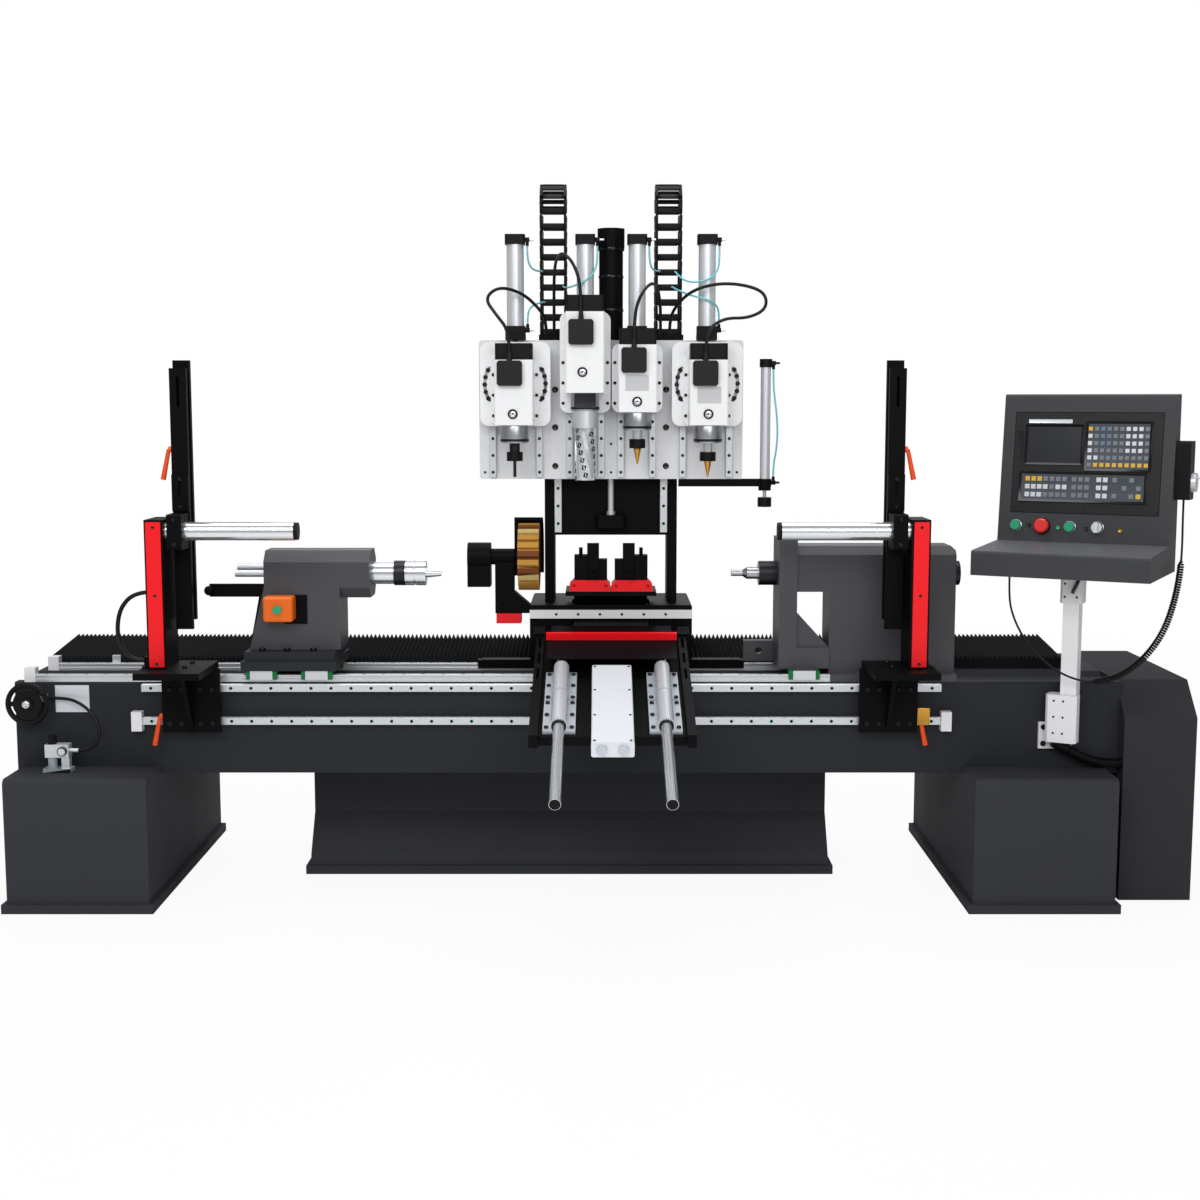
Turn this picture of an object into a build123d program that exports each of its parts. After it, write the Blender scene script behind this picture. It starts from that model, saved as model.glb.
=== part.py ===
# Woodturning lathe with a travelling portal of router spindles, magazine loaders and an operator console.
# Millimetres. X runs along the bed, Y from the operator to the back, Z up, with the origin on the floor.
import math
import os

from build123d import *

# Driving dimensions
bed_length = 3410
bed_depth = 588
bed_bottom = 390
bed_height = 285
centre_height = 325
axis_setback = 128
slide_gap = 0.3
turn_gap = 0.05
cut_over = 5

bed_top = bed_bottom + bed_height
bed_left = -bed_length / 2
bed_right = bed_length / 2
bed_front = -bed_depth / 2
bed_back = bed_depth / 2
axis_y = bed_front + axis_setback
axis_z = bed_top + centre_height

# Linear guides
rail_width = 23
rail_height = 22
block_length = 95
block_width = 48
block_height = 36
block_lift = 8
block_cap = 13
block_cap_inset = 2
small_rail_width = 20
small_rail_height = 18
small_block_length = 60
small_block_width = 38
small_block_lift = 7
rail_profile_shares = [(0.5, 0), (0.5, 0.36), (0.38, 0.5), (0.38, 0.64), (0.5, 0.78), (0.5, 0.94), (0.45, 1)]


def block(x0, x1, y0, y1, z0, z1):
    return Pos((x0 + x1) / 2, (y0 + y1) / 2, (z0 + z1) / 2) * Box(x1 - x0, y1 - y0, z1 - z0)


def prism_x(points, x0, x1):
    face = make_face(Polyline(*points, close=True))
    plane = Plane(origin=(x0, 0, 0), x_dir=(0, 1, 0), z_dir=(1, 0, 0))
    return extrude(plane * face, x1 - x0)


def prism_y(points, y0, y1):
    face = make_face(Polyline(*points, close=True))
    plane = Plane(origin=(0, y1, 0), x_dir=(1, 0, 0), z_dir=(0, -1, 0))
    return extrude(plane * face, y1 - y0)


def prism_z(points, z0, z1):
    face = make_face(Polyline(*points, close=True))
    return extrude(Pos(0, 0, z0) * face, z1 - z0)


def rod_x(x0, x1, y, z, radius):
    plane = Plane(origin=(x0, y, z), x_dir=(0, 1, 0), z_dir=(1, 0, 0))
    return extrude(plane * Circle(radius), x1 - x0)


def rod_y(x, y0, y1, z, radius):
    plane = Plane(origin=(x, y1, z), x_dir=(1, 0, 0), z_dir=(0, -1, 0))
    return extrude(plane * Circle(radius), y1 - y0)


def rod_z(x, y, z0, z1, radius):
    return extrude(Pos(x, y, z0) * Circle(radius), z1 - z0)


def turned_x(profile, y, z):
    # profile holds (x, radius) pairs along the axis
    points = [(profile[0][0], 0)] + profile + [(profile[-1][0], 0)]
    face = make_face(Polyline(*points, close=True))
    return Pos(0, y, z) * revolve(Plane.XZ * face, Axis.X)


def turned_z(profile, x, y):
    # profile holds (z, radius) pairs along the axis
    points = [(0, profile[0][0])] + [(r, z) for z, r in profile] + [(0, profile[-1][0])]
    face = make_face(Polyline(*points, close=True))
    return Pos(x, y, 0) * revolve(Plane.XZ * face, Axis.Z)


def frame_at(x, y, z, along, up):
    return Plane(origin=(x, y, z), x_dir=along, z_dir=up)


def rail(length, width=rail_width, height=rail_height):
    # rail along X, centred, standing on z = 0
    right = [(width * s, height * t) for s, t in rail_profile_shares]
    left = [(-y, z) for y, z in reversed(right)]
    return prism_x(right + left, -length / 2, length / 2)


def carriage(length=block_length, width=block_width, height=block_height, lift=block_lift,
             rail_w=rail_width, rail_h=rail_height, cap=block_cap):
    # carriage straddling a rail along X, with plastic end caps a little smaller than its steel body
    def channel(inset, x0, x1):
        inner = rail_w / 2 + slide_gap
        half = width / 2 - inset
        top = height - inset
        roof = rail_h + slide_gap
        points = [(-half, lift), (-half, top), (half, top), (half, lift),
                  (inner, lift), (inner, roof), (-inner, roof), (-inner, lift)]
        return prism_x(points, x0, x1)

    body = channel(0, -length / 2 + cap, length / 2 - cap)
    ends = [channel(block_cap_inset, -length / 2, -length / 2 + cap),
            channel(block_cap_inset, length / 2 - cap, length / 2)]
    return body + ends[0] + ends[1]


# Bed and base
trough_depth = 14
trough_margin = 14
front_rail_inset = 15.5
rail_gauge = 224
front_rail_y = bed_front + front_rail_inset
rear_rail_y = front_rail_y + rail_gauge
pedestal_width = 430
pedestal_depth = 960
pedestal_rise = 20
pedestal_round = 18
floor_flange_height = 28
floor_flange_out = 14
left_pedestal_inset = 230
right_pedestal_inset = 265
plinth_length = 1692
plinth_setback = 243
plinth_toe_height = 34
plinth_toe_run = 8
plinth_slope_height = 121
plinth_slope_run = 90
plinth_back = 420
cabinet_width = 222
cabinet_front_out = 56
cabinet_chamfer = 103
cabinet_back_out = 65
cabinet_door_margin = 45
cabinet_door_thick = 4
cabinet_round = 8
bed_edge = 4


def bed_frame():
    trough_front = front_rail_y + rail_width / 2 + trough_margin
    trough_rear = rear_rail_y - rail_width / 2 - trough_margin
    floor_z = bed_top - trough_depth
    profile = [(bed_front, bed_bottom), (bed_front, bed_top - bed_edge), (bed_front + bed_edge, bed_top),
               (trough_front, bed_top), (trough_front + trough_depth, floor_z),
               (trough_rear - trough_depth, floor_z), (trough_rear, bed_top), (bed_back, bed_top),
               (bed_back, bed_bottom)]
    return [prism_x(profile, bed_left, bed_right)]


def pedestal(centre):
    front, back = -pedestal_depth / 2, pedestal_depth / 2
    shelf = bed_bottom + pedestal_rise
    profile = [(front, 0), (front, shelf), (bed_front, shelf), (bed_front, bed_bottom),
               (bed_back, bed_bottom), (bed_back, shelf), (back, shelf), (back, 0)]
    x0, x1 = centre - pedestal_width / 2, centre + pedestal_width / 2
    body = prism_x(profile, x0, x1)
    tops = body.edges().filter_by(Axis.X).filter_by(lambda e: e.center().Z > bed_bottom + pedestal_rise / 2
                                                    and abs(e.center().Y) > pedestal_depth / 2 - cut_over)
    body = fillet(tops, pedestal_round)
    flange = block(x0 - floor_flange_out, x1 + floor_flange_out, front - floor_flange_out,
                   back + floor_flange_out, 0, floor_flange_height)
    return body + flange


def pedestals():
    return [pedestal(bed_left + left_pedestal_inset), pedestal(bed_right - right_pedestal_inset)]


def centre_plinth():
    toe = bed_front + plinth_setback
    knee = floor_flange_height + plinth_toe_height
    waist = knee + plinth_slope_height
    back_y = toe + plinth_toe_run + plinth_slope_run
    profile = [(toe, 0), (toe, floor_flange_height), (toe + plinth_toe_run, knee), (back_y, waist),
               (back_y, bed_bottom), (plinth_back, bed_bottom), (plinth_back, 0)]
    body = prism_x(profile, -plinth_length / 2, plinth_length / 2)
    flange = block(-plinth_length / 2 - floor_flange_out, plinth_length / 2 + floor_flange_out,
                   toe - floor_flange_out, plinth_back + floor_flange_out, 0, floor_flange_height)
    return [body + flange]


def electrical_cabinet():
    front = bed_front - cabinet_front_out
    back = bed_back + cabinet_back_out
    right = bed_right + cabinet_width
    profile = [(front, 0), (front, bed_top - cabinet_chamfer), (front + cabinet_chamfer, bed_top),
               (back, bed_top), (back, 0)]
    body = prism_x(profile, bed_right, right)
    body = fillet(body.edges().filter_by(Axis.X).filter_by(lambda e: e.center().Z > cut_over), cabinet_round)
    margin = cabinet_door_margin
    door = block(right, right + cabinet_door_thick, front + cabinet_chamfer + margin, back - margin,
                 margin, bed_top - margin)
    return [body + door]


# Headstock, set on the bed with its bearing plate at headstock_x
headstock_x = 653
headstock_plate = 56
headstock_depth = 160
headstock_plate_depth = 180
headstock_plate_top = 111
headstock_top = 90
headstock_beam_drop = 51
headstock_column_x = 157
headstock_length = 547
headstock_bevel = 26
headstock_foot_height = 65
headstock_foot_length = 152
headstock_gusset = 110
headstock_base_height = 21
spindle_bore = 30
nose_radius = 38
nose_length = 57
centre_radius = 19
centre_length = 36
taper_length = 14
tip_radius = 10
tip_length = 35
spindle_flange_depth = 24
screw_lug_length = 96
screw_lug_height = 66
screw_lug_depth = 30
screw_lug_hole = 11


def headstock():
    x0 = headstock_x
    plate_x1 = x0 + headstock_plate
    column_x = x0 + headstock_column_x
    x1 = x0 + headstock_length
    front, back = axis_y - headstock_depth / 2, axis_y + headstock_depth / 2
    foot_z = bed_top + block_height
    top = axis_z + headstock_top
    beam_z = axis_z - headstock_beam_drop
    bevel = headstock_bevel
    # one casting: arch of beam and column, seen from the front, with bevelled long edges
    arch = [(plate_x1, beam_z), (column_x, beam_z), (column_x, bed_top + headstock_base_height),
            (x1, bed_top + headstock_base_height), (x1, top), (plate_x1, top)]
    body = prism_y(arch, front, back)
    long_edges = body.edges().filter_by(Axis.X).filter_by(lambda e: e.center().Z > top - cut_over)
    body = chamfer(long_edges, bevel)
    end_edges = body.edges().filter_by(lambda e: e.center().X > x1 - cut_over and e.center().Z > axis_z)
    body = chamfer(end_edges.filter_by(Axis.Y), bevel / 2)
    plate_front = axis_y - headstock_plate_depth / 2
    plate_back = axis_y + headstock_plate_depth / 2
    foot_top = foot_z + headstock_foot_height
    plate = block(x0, plate_x1, plate_front, plate_back, foot_z, axis_z + headstock_plate_top)
    gusset = prism_y([(plate_x1, foot_top), (plate_x1, foot_top + headstock_gusset),
                      (plate_x1 + headstock_gusset, foot_top)], front, back)
    gusset_cut = prism_y([(plate_x1, foot_top), (plate_x1, foot_top + headstock_gusset),
                          (column_x, foot_top)], front, back)
    gusset = gusset & gusset_cut
    foot = block(x0, column_x, plate_front, rear_rail_y + block_width / 2, foot_z, foot_top)
    base = block(column_x, x1, bed_front + bed_edge, rear_rail_y + block_width / 2, bed_top,
                 bed_top + headstock_base_height)
    lug = block(x0 - screw_lug_length, x0, plate_back - screw_lug_depth, plate_back, foot_z,
                foot_z + screw_lug_height)
    lug_hole = rod_y(x0 - screw_lug_length / 2, plate_back - screw_lug_depth - cut_over,
                     plate_back + cut_over,
                     foot_z + screw_lug_height / 2, screw_lug_hole)
    bore = rod_x(x0 - cut_over, x1 + cut_over, axis_y, axis_z, spindle_bore + turn_gap)
    casting = body + plate + gusset + foot + base + (lug - lug_hole) - bore
    block_x = x0 + headstock_foot_length / 2
    riders = [frame_at(block_x, y, bed_top, (1, 0, 0), (0, 0, 1)) * carriage()
              for y in (front_rail_y, rear_rail_y)]
    return [casting] + riders


def main_spindle():
    x0 = headstock_x
    x_nose = x0 - nose_length
    x_centre = x_nose - centre_length
    x_taper = x_centre - taper_length
    x_tip = x_taper - tip_length
    x_end = x0 + headstock_length + spindle_flange_depth
    flange_x = x0 + headstock_length + slide_gap
    profile = [(x_tip, tip_radius), (x_taper, tip_radius), (x_centre, centre_radius), (x_nose, centre_radius),
               (x_nose, nose_radius), (x0 - slide_gap, nose_radius), (x0 - slide_gap, spindle_bore),
               (flange_x, spindle_bore), (flange_x, nose_radius), (x_end, nose_radius)]
    return [turned_x(profile, axis_y, axis_z)]


# Guideways on the bed, ending at the headstock column, and the white stops at their ends
rail_end_inset = 65
face_rail_left_inset = 396
face_rail_right_inset = 556
upper_face_rail_drop = 16
face_rail_gauge = 103
stop_length = 34
stop_width = 34
stop_height = 44
rear_stop_inset = 230
rear_stop_length = 24
rear_stop_width = 11
face_stop_length = 32
face_stop_height = 60
face_stop_depth = 30


def bed_guideways():
    left = bed_left + rail_end_inset
    right = headstock_x + headstock_column_x - slide_gap
    solids = []
    for y in (front_rail_y, rear_rail_y):
        plane = frame_at((left + right) / 2, y, bed_top, (1, 0, 0), (0, 0, 1))
        solids.append(plane * rail(right - left))
        stop = block(-stop_length, 0, y - stop_width / 2, y + stop_width / 2, bed_top, bed_top + stop_height)
        solids.append(Pos(left, 0, 0) * stop)
    rear_stop_x = bed_left + rear_stop_inset
    rear_stop_y = rear_rail_y + rail_width / 2
    solids.append(block(rear_stop_x, rear_stop_x + rear_stop_length, rear_stop_y,
                        rear_stop_y + rear_stop_width,
                        bed_top, bed_top + stop_height))
    face_left = bed_left + face_rail_left_inset
    face_right = bed_right - face_rail_right_inset
    for drop in (upper_face_rail_drop, upper_face_rail_drop + face_rail_gauge):
        plane = frame_at((face_left + face_right) / 2, bed_front, bed_top - drop, (1, 0, 0), (0, -1, 0))
        solids.append(plane * rail(face_right - face_left))
    lower = bed_top - upper_face_rail_drop - face_rail_gauge
    for x0 in (face_left - face_stop_length, face_right):
        solids.append(block(x0, x0 + face_stop_length, bed_front - face_stop_depth, bed_front,
                            lower - face_stop_height / 2, lower + face_stop_height / 2))
    return solids


# Hidden rear ways and drive screw, under the pleated bellows
rear_way_front = 334
rear_way_gauge = 160
rear_way_left_inset = 24
rear_way_right_inset = 110
drive_screw_radius = 12
drive_screw_rise = 18
screw_bearing_length = 40
screw_bearing_width = 70
screw_bearing_height = 34
rear_way_y = (bed_front + rear_way_front, bed_front + rear_way_front + rear_way_gauge)
drive_screw_y = (rear_way_y[0] + rear_way_y[1]) / 2
way_left = bed_left + rear_way_left_inset
way_right = bed_right - rear_way_right_inset
bellows_front_setback = 265.5
bellows_width = 288
bellows_skirt = 5
bellows_front_rise = 25
bellows_slope = 31
bellows_fold_height = 16
bellows_fold_pitch = 14
bellows_front = bed_front + bellows_front_setback
bellows_back = bellows_front + bellows_width


def rear_guideways():
    solids = []
    for y in rear_way_y:
        plane = frame_at((way_left + way_right) / 2, y, bed_top, (1, 0, 0), (0, 0, 1))
        solids.append(plane * rail(way_right - way_left))
    screw_z = bed_top + drive_screw_rise
    solids.append(rod_x(way_left + screw_bearing_length, way_right - screw_bearing_length, drive_screw_y,
                        screw_z, drive_screw_radius))
    for x0 in (way_left, way_right - screw_bearing_length):
        solids.append(block(x0, x0 + screw_bearing_length, drive_screw_y - screw_bearing_width / 2,
                            drive_screw_y + screw_bearing_width / 2, bed_top,
                            bed_top + screw_bearing_height))
    return solids


def bellows(x0, x1):
    # pleated roof sloping down to the operator, on skirts that stand on the bed
    folds = max(2, round((x1 - x0) / bellows_fold_pitch))
    pitch = (x1 - x0) / folds
    low = bed_top + bellows_front_rise
    roof = [(x0, low)]
    for i in range(folds):
        roof.append((x0 + i * pitch, low + bellows_fold_height / 2))
        roof.append((x0 + (i + 1 / 2) * pitch, low + bellows_fold_height))
    roof += [(x1, low + bellows_fold_height / 2), (x1, low)]
    flat = prism_y(roof, bellows_front, bellows_back)
    tilt = math.degrees(math.atan2(bellows_slope, bellows_width))
    pivot = Pos(0, bellows_front, low)
    sheet = pivot * Rot(tilt, 0, 0) * pivot.inverse() * flat
    front = block(x0, x1, bellows_front, bellows_front + bellows_skirt, bed_top, low + cut_over)
    back_y = bellows_front + bellows_width * math.cos(math.radians(tilt)) - bellows_skirt * 2
    back = block(x0, x1, back_y, back_y + bellows_skirt, bed_top, low + bellows_slope)
    return sheet + front + back


def way_bellows():
    return [bellows(way_left, saddle_x - saddle_width / 2 - slide_gap),
            bellows(saddle_x + saddle_width / 2 + slide_gap, way_right)]


# Tailstock
tailstock_x = -613
tailstock_bar = 326
tailstock_bar_depth = 163
tailstock_bar_below = 72
tailstock_bar_above = 75
tailstock_bevel = 34
tailstock_neck_inset = 92
tailstock_neck_length = 244
tailstock_neck_spread = 38
tailstock_base_length = 293
tailstock_base_step = 29
tailstock_base_inset = 10
tailstock_base_over = 6
tailstock_block_spacing = 170
tailstock_block_offset = 6
quill_radius = 35
quill_reach = 69
quill_inside = 200
ring_radius = 39
ring_length = 35
drum_radius = 39
drum_groove = 4
drum_length = 64
live_tip_root = 15
live_tip_end = 10
live_tip_length = 47
stub_radius = 12
stub_depth = 30
back_rod_radius = 11
back_rod_length = 100
back_rod_spacing = 34
back_bar_length = 176
back_bar_height = 40
back_bar_thick = 14
back_bar_drop = 70
back_ball_radius = 15
tailstock_base_z = bed_top + block_height
tailstock_neck_x1 = tailstock_x - tailstock_neck_inset
tailstock_base_x1 = tailstock_neck_x1 - tailstock_block_offset
tailstock_front = axis_y - tailstock_bar_depth / 2


def tailstock_body():
    half = tailstock_bar_depth / 2
    low, high = axis_z - tailstock_bar_below, axis_z + tailstock_bar_above
    bevel = tailstock_bevel
    section = [(axis_y - half, low + bevel), (axis_y - half, high - bevel), (axis_y - half + bevel, high),
               (axis_y + half - bevel, high), (axis_y + half, high - bevel), (axis_y + half, low + bevel),
               (axis_y + half - bevel, low), (axis_y - half + bevel, low)]
    bar = prism_x(section, tailstock_x - tailstock_bar, tailstock_x)
    base_top = tailstock_base_z + 2 * tailstock_base_step
    x1 = tailstock_neck_x1
    x0 = x1 - tailstock_neck_length
    neck = prism_y([(x0 - tailstock_neck_spread, base_top), (x0, low + bevel), (x1, low + bevel), (x1,
                                                                                                   base_top)],
                   axis_y - half, axis_y + half)
    y0 = front_rail_y - block_width / 2 - tailstock_base_over
    y1 = rear_rail_y + block_width / 2 - tailstock_base_over
    base_x1 = tailstock_base_x1
    base_x0 = base_x1 - tailstock_base_length
    inset = tailstock_base_inset
    lower = block(base_x0, base_x1, y0, y1, tailstock_base_z, tailstock_base_z + tailstock_base_step)
    upper = block(base_x0 + inset, base_x1 - inset / 2, y0 + inset, y1 - inset,
                  tailstock_base_z + tailstock_base_step, base_top)
    bore = rod_x(tailstock_x - quill_inside - quill_reach, tailstock_x + cut_over, axis_y, axis_z,
                 quill_radius + turn_gap)
    casting = bar + neck + lower + upper - bore
    back_x = tailstock_x - tailstock_bar
    rods = [rod_x(back_x - back_rod_length, back_x, axis_y + side * back_rod_spacing / 2,
                  axis_z + back_rod_spacing / 2 * (1 + side) / 2, back_rod_radius) for side in (-1, 1)]
    bar_z = axis_z - back_bar_drop
    strap = block(back_x - back_bar_length, back_x, axis_y - half + bevel,
                  axis_y - half + bevel + back_bar_thick,
                  bar_z, bar_z + back_bar_height)
    ball = Pos(back_x - back_bar_length, axis_y - half + bevel - back_ball_radius / 2,
               bar_z + back_bar_height / 2) * Sphere(back_ball_radius)
    return [casting] + rods + [strap + ball]


def tailstock_blocks():
    middle = tailstock_base_x1 - tailstock_base_length / 2
    return [frame_at(middle + side * tailstock_block_spacing / 2, y, bed_top, (1, 0, 0), (0, 0,
                                                                                          1)) * carriage()
            for side in (-1, 1) for y in (front_rail_y, rear_rail_y)]


def quill():
    x0 = tailstock_x - quill_inside
    x1 = tailstock_x + quill_reach
    body = turned_x([(x0, quill_radius), (x1, quill_radius), (x1, ring_radius), (x1 + ring_length,
                                                                                 ring_radius)],
                    axis_y, axis_z)
    socket = rod_x(x1 + ring_length - stub_depth, x1 + ring_length + cut_over, axis_y, axis_z,
                   stub_radius + turn_gap)
    return [body - socket]


def live_centre():
    face = tailstock_x + quill_reach + ring_length
    start = face + slide_gap
    drum = start + drum_length
    middle = start + drum_length / 2
    profile = [(face - stub_depth + slide_gap, stub_radius), (start, stub_radius), (start, drum_radius),
               (middle - drum_groove, drum_radius), (middle - drum_groove, drum_radius - drum_groove),
               (middle, drum_radius - drum_groove), (middle, drum_radius), (drum, drum_radius),
               (drum, live_tip_root), (drum + live_tip_length, live_tip_end)]
    return [turned_x(profile, axis_y, axis_z)]


box_width = 92
box_height = 78
box_depth = 56
box_round = 9
box_bracket_thick = 4
box_bracket_width = 70
box_bracket_height = 90
box_drop = 60
box_inset = 6
button_radius = 13
button_proud = 10
button_inside = 14


def button_box():
    x0 = tailstock_x - tailstock_bar + box_inset
    top = axis_z - box_drop
    back = tailstock_front - box_bracket_thick
    shell = block(x0, x0 + box_width, back - box_depth, back, top - box_height, top)
    shell = fillet(shell.edges().filter_by(lambda e: e.center().Y < back - cut_over), box_round)
    hole = rod_y(x0 + box_width / 2, back - box_depth - cut_over, back - box_depth + button_inside,
                 top - box_height / 2, button_radius + turn_gap)
    bracket = block(x0 + box_width - box_bracket_width / 2, x0 + box_width + box_bracket_width / 2, back,
                    tailstock_front, top - box_bracket_height, top)
    return [shell - hole, bracket]


def box_button():
    x = tailstock_x - tailstock_bar + box_inset + box_width / 2
    face = tailstock_front - box_bracket_thick - box_depth
    return [rod_y(x, face - button_proud, face + button_inside - button_travel - slide_gap,
                  axis_z - box_drop - box_height / 2, button_radius)]


button_travel = 4

# Saddle: rear base, inclined deck over the bed, and the portal
saddle_x = 135
saddle_width = 520
saddle_front_setback = 228
saddle_depth = 336
saddle_height = 175
saddle_edge = 4
saddle_block_spread = 360
saddle_nut_length = 80
saddle_nut_width = 60
shoe_length = 854
strip_height = 27
strip_thick = 12
strip_drop = 11
deck_angle = 16
deck_drop = 69
deck_length = 763
deck_width = 416
deck_thick = 28
apron_height = 150
apron_thick = 16
apron_block_spread = 300
rib_thick = 20
rib_spread = 300
rib_reach = 300
side_bar_width = 26
side_bar_height = 40
side_bar_over = 30
side_bar_top = 60
side_bar_window = 70
side_bar_window_pitch = 110
side_bar_wall = 9
side_bar_windows = 3
side_bar_head_length = 58
side_bar_head_over = 12
slot_bridge = 30
saddle_front = bed_front + saddle_front_setback
saddle_back = saddle_front + saddle_depth
saddle_floor = bed_top + block_height
saddle_top = saddle_floor + saddle_height
deck_z = saddle_top - deck_drop
deck_tan = math.tan(math.radians(deck_angle))
deck_cos = math.cos(math.radians(deck_angle))
deck_sin = math.sin(math.radians(deck_angle))
# local frame of the deck: x across, y up the slope towards the back, z square to its face
deck_frame = Plane(origin=(saddle_x, saddle_front, deck_z), x_dir=(1, 0, 0), z_dir=(0, -deck_sin, deck_cos))


def deck_top_at(y):
    return deck_z + (y - saddle_front) * deck_tan


def saddle_base():
    half = saddle_width / 2
    body = block(saddle_x - half, saddle_x + half, saddle_front, saddle_back, saddle_floor, saddle_top)
    body = chamfer(body.edges().filter_by(Axis.Y).filter_by(lambda e: e.center().Z > saddle_floor + cut_over),
                   saddle_edge)
    screw_z = bed_top + drive_screw_rise
    nut = block(saddle_x - saddle_nut_length / 2, saddle_x + saddle_nut_length / 2,
                drive_screw_y - saddle_nut_width / 2, drive_screw_y + saddle_nut_width / 2,
                bed_top + block_lift / 2, saddle_floor)
    bore = rod_x(saddle_x - saddle_nut_length, saddle_x + saddle_nut_length, drive_screw_y, screw_z,
                 drive_screw_radius + slide_gap)
    # slot in which the tool table's ram runs, under a bridge at the front and open to the top behind it
    slot_half = ram_width / 2 + ram_gap
    slot_back = table_link_back() + ram_gap
    bridge_back = saddle_front + slot_bridge
    bridge_low = deck_top_at(bridge_back) + (ram_low + ram_thick + ram_gap / 2) / deck_cos
    slot = block(saddle_x - slot_half, saddle_x + slot_half, saddle_front - cut_over, slot_back, deck_z,
                 bridge_low)
    slot += block(saddle_x - slot_half, saddle_x + slot_half, bridge_back, slot_back, deck_z,
                  saddle_top + cut_over)
    strip_top = saddle_top - saddle_edge - strip_drop
    strip = block(saddle_x - half, saddle_x + half, saddle_front - strip_thick, saddle_front,
                  strip_top - strip_height, strip_top)
    return [body + nut - bore - slot, strip]


def inclined_deck():
    half = deck_width / 2
    front_y = saddle_front - deck_length * deck_cos
    top_z = deck_top_at(front_y)
    drop = deck_thick / deck_cos
    plate = prism_x([(saddle_front, deck_z), (front_y, top_z),
                     (front_y + deck_thick * deck_sin, top_z - deck_thick * deck_cos),
                     (saddle_front, deck_z - drop)], saddle_x - half, saddle_x + half)
    apron_back = bed_front - block_height
    apron_front = apron_back - apron_thick
    apron_low = bed_top - apron_height
    apron = prism_x([(apron_back, apron_low), (apron_back, deck_top_at(apron_back) - drop),
                     (apron_front, deck_top_at(apron_front) - drop), (apron_front, apron_low)],
                    saddle_x - half, saddle_x + half)
    tip_y = apron_front - rib_reach
    weldment = plate + apron
    for side in (-1, 1):
        x = saddle_x + side * rib_spread / 2
        weldment += prism_x([(apron_front, apron_low), (apron_front, deck_top_at(apron_front) - drop),
                             (tip_y, deck_top_at(tip_y) - drop)], x - rib_thick / 2, x + rib_thick / 2)
        x_in = side * half
        x_out = side * (half + side_bar_width)
        bar = block(min(x_in, x_out), max(x_in, x_out), -deck_length - side_bar_over, -side_bar_top,
                    -side_bar_height / 2, side_bar_height / 2)
        for i in range(side_bar_windows):
            mid = -side_bar_top - side_bar_head_length - (i + 1 / 2) * side_bar_window_pitch
            bar -= block(min(x_in, x_out) + side_bar_wall, max(x_in, x_out) - side_bar_wall,
                         mid - side_bar_window / 2, mid + side_bar_window / 2, -side_bar_height,
                         side_bar_height)
        x_head = side * (half + side_bar_width + side_bar_head_over)
        bar += block(min(x_in, x_head), max(x_in, x_head), -side_bar_top - side_bar_head_length,
                     -side_bar_top,
                     -side_bar_height / 2, side_bar_height / 2 + side_bar_head_over / 2)
        weldment += deck_frame * bar
    return [weldment]


# Portal gantry, lift guides and motors
gantry_width = 428
gantry_post = 32
gantry_setback = 94
gantry_depth = 130
gantry_plate = 20
portal_height = 218
gantry_shoulder = 674
gantry_height = 814
gantry_neck = 260
gantry_rib = 16
lift_rail_spacing = 340
lift_rail_bottom = 10
lift_screw_radius = 10
lift_screw_standoff = 14
bearing_width = 96
bearing_height = 42
bearing_rise = 24
bearing_round = 14
bearing_boss_height = 12
motor_plate = 16
motor_radius = 38
motor_length = 300
motor_cap_radius = 43
motor_cap_length = 60
chain_anchor_thick = 16
gantry_front = saddle_front + gantry_setback
gantry_back = gantry_front + gantry_depth
gantry_top = saddle_top + gantry_height
shoulder_z = saddle_top + gantry_shoulder
lift_screw_y = gantry_front - lift_screw_standoff
chain_width = 85
chain_thick = 40
chain_spacing = 370
chain_bend = 60
chain_gap = 5
chain_pitch = 48
chain_wall = 9
chain_rung = 18
chain_top_rise = 404


def gantry_frame():
    half = gantry_width / 2
    inner = half - gantry_post
    neck = gantry_neck / 2
    outline = [(saddle_x - half, saddle_top), (saddle_x - half, shoulder_z), (saddle_x - neck, shoulder_z),
               (saddle_x - neck, gantry_top), (saddle_x + neck, gantry_top), (saddle_x + neck, shoulder_z),
               (saddle_x + half, shoulder_z), (saddle_x + half, saddle_top), (saddle_x + inner, saddle_top),
               (saddle_x + inner, saddle_top + portal_height), (saddle_x - inner, saddle_top + portal_height),
               (saddle_x - inner, saddle_top)]
    frame = prism_y(outline, gantry_front, gantry_back)
    # open back of the welded column, with a middle rib
    pocket_low = saddle_top + portal_height + gantry_plate
    pocket_mid = (pocket_low + shoulder_z - gantry_plate) / 2
    inside = gantry_front + gantry_plate
    for z0, z1 in ((pocket_low, pocket_mid - gantry_rib / 2),
                   (pocket_mid + gantry_rib / 2, shoulder_z - gantry_plate)):
        frame -= block(saddle_x - inner, saddle_x + inner, inside, gantry_back + cut_over, z0, z1)
    frame -= block(saddle_x - neck + gantry_plate, saddle_x + neck - gantry_plate, inside,
                   gantry_back + cut_over, shoulder_z, gantry_top - gantry_plate)
    # shelf that carries the fixed ends of the drag chains
    shelf_back = gantry_back + chain_gap + chain_thick
    for side in (-1, 1):
        x = saddle_x + side * chain_spacing / 2
        frame += block(x - chain_width / 2, x + chain_width / 2, gantry_back, shelf_back,
                       shoulder_z - chain_anchor_thick, shoulder_z)
    bracket = block(saddle_x - motor_cap_radius, saddle_x + motor_cap_radius,
                    lift_screw_y - motor_cap_radius, gantry_back, gantry_top, gantry_top + motor_plate)
    hole = rod_z(saddle_x, lift_screw_y, gantry_top - cut_over, gantry_top + motor_plate + cut_over,
                 lift_screw_radius + turn_gap)
    return [frame, bracket - hole]


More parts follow.
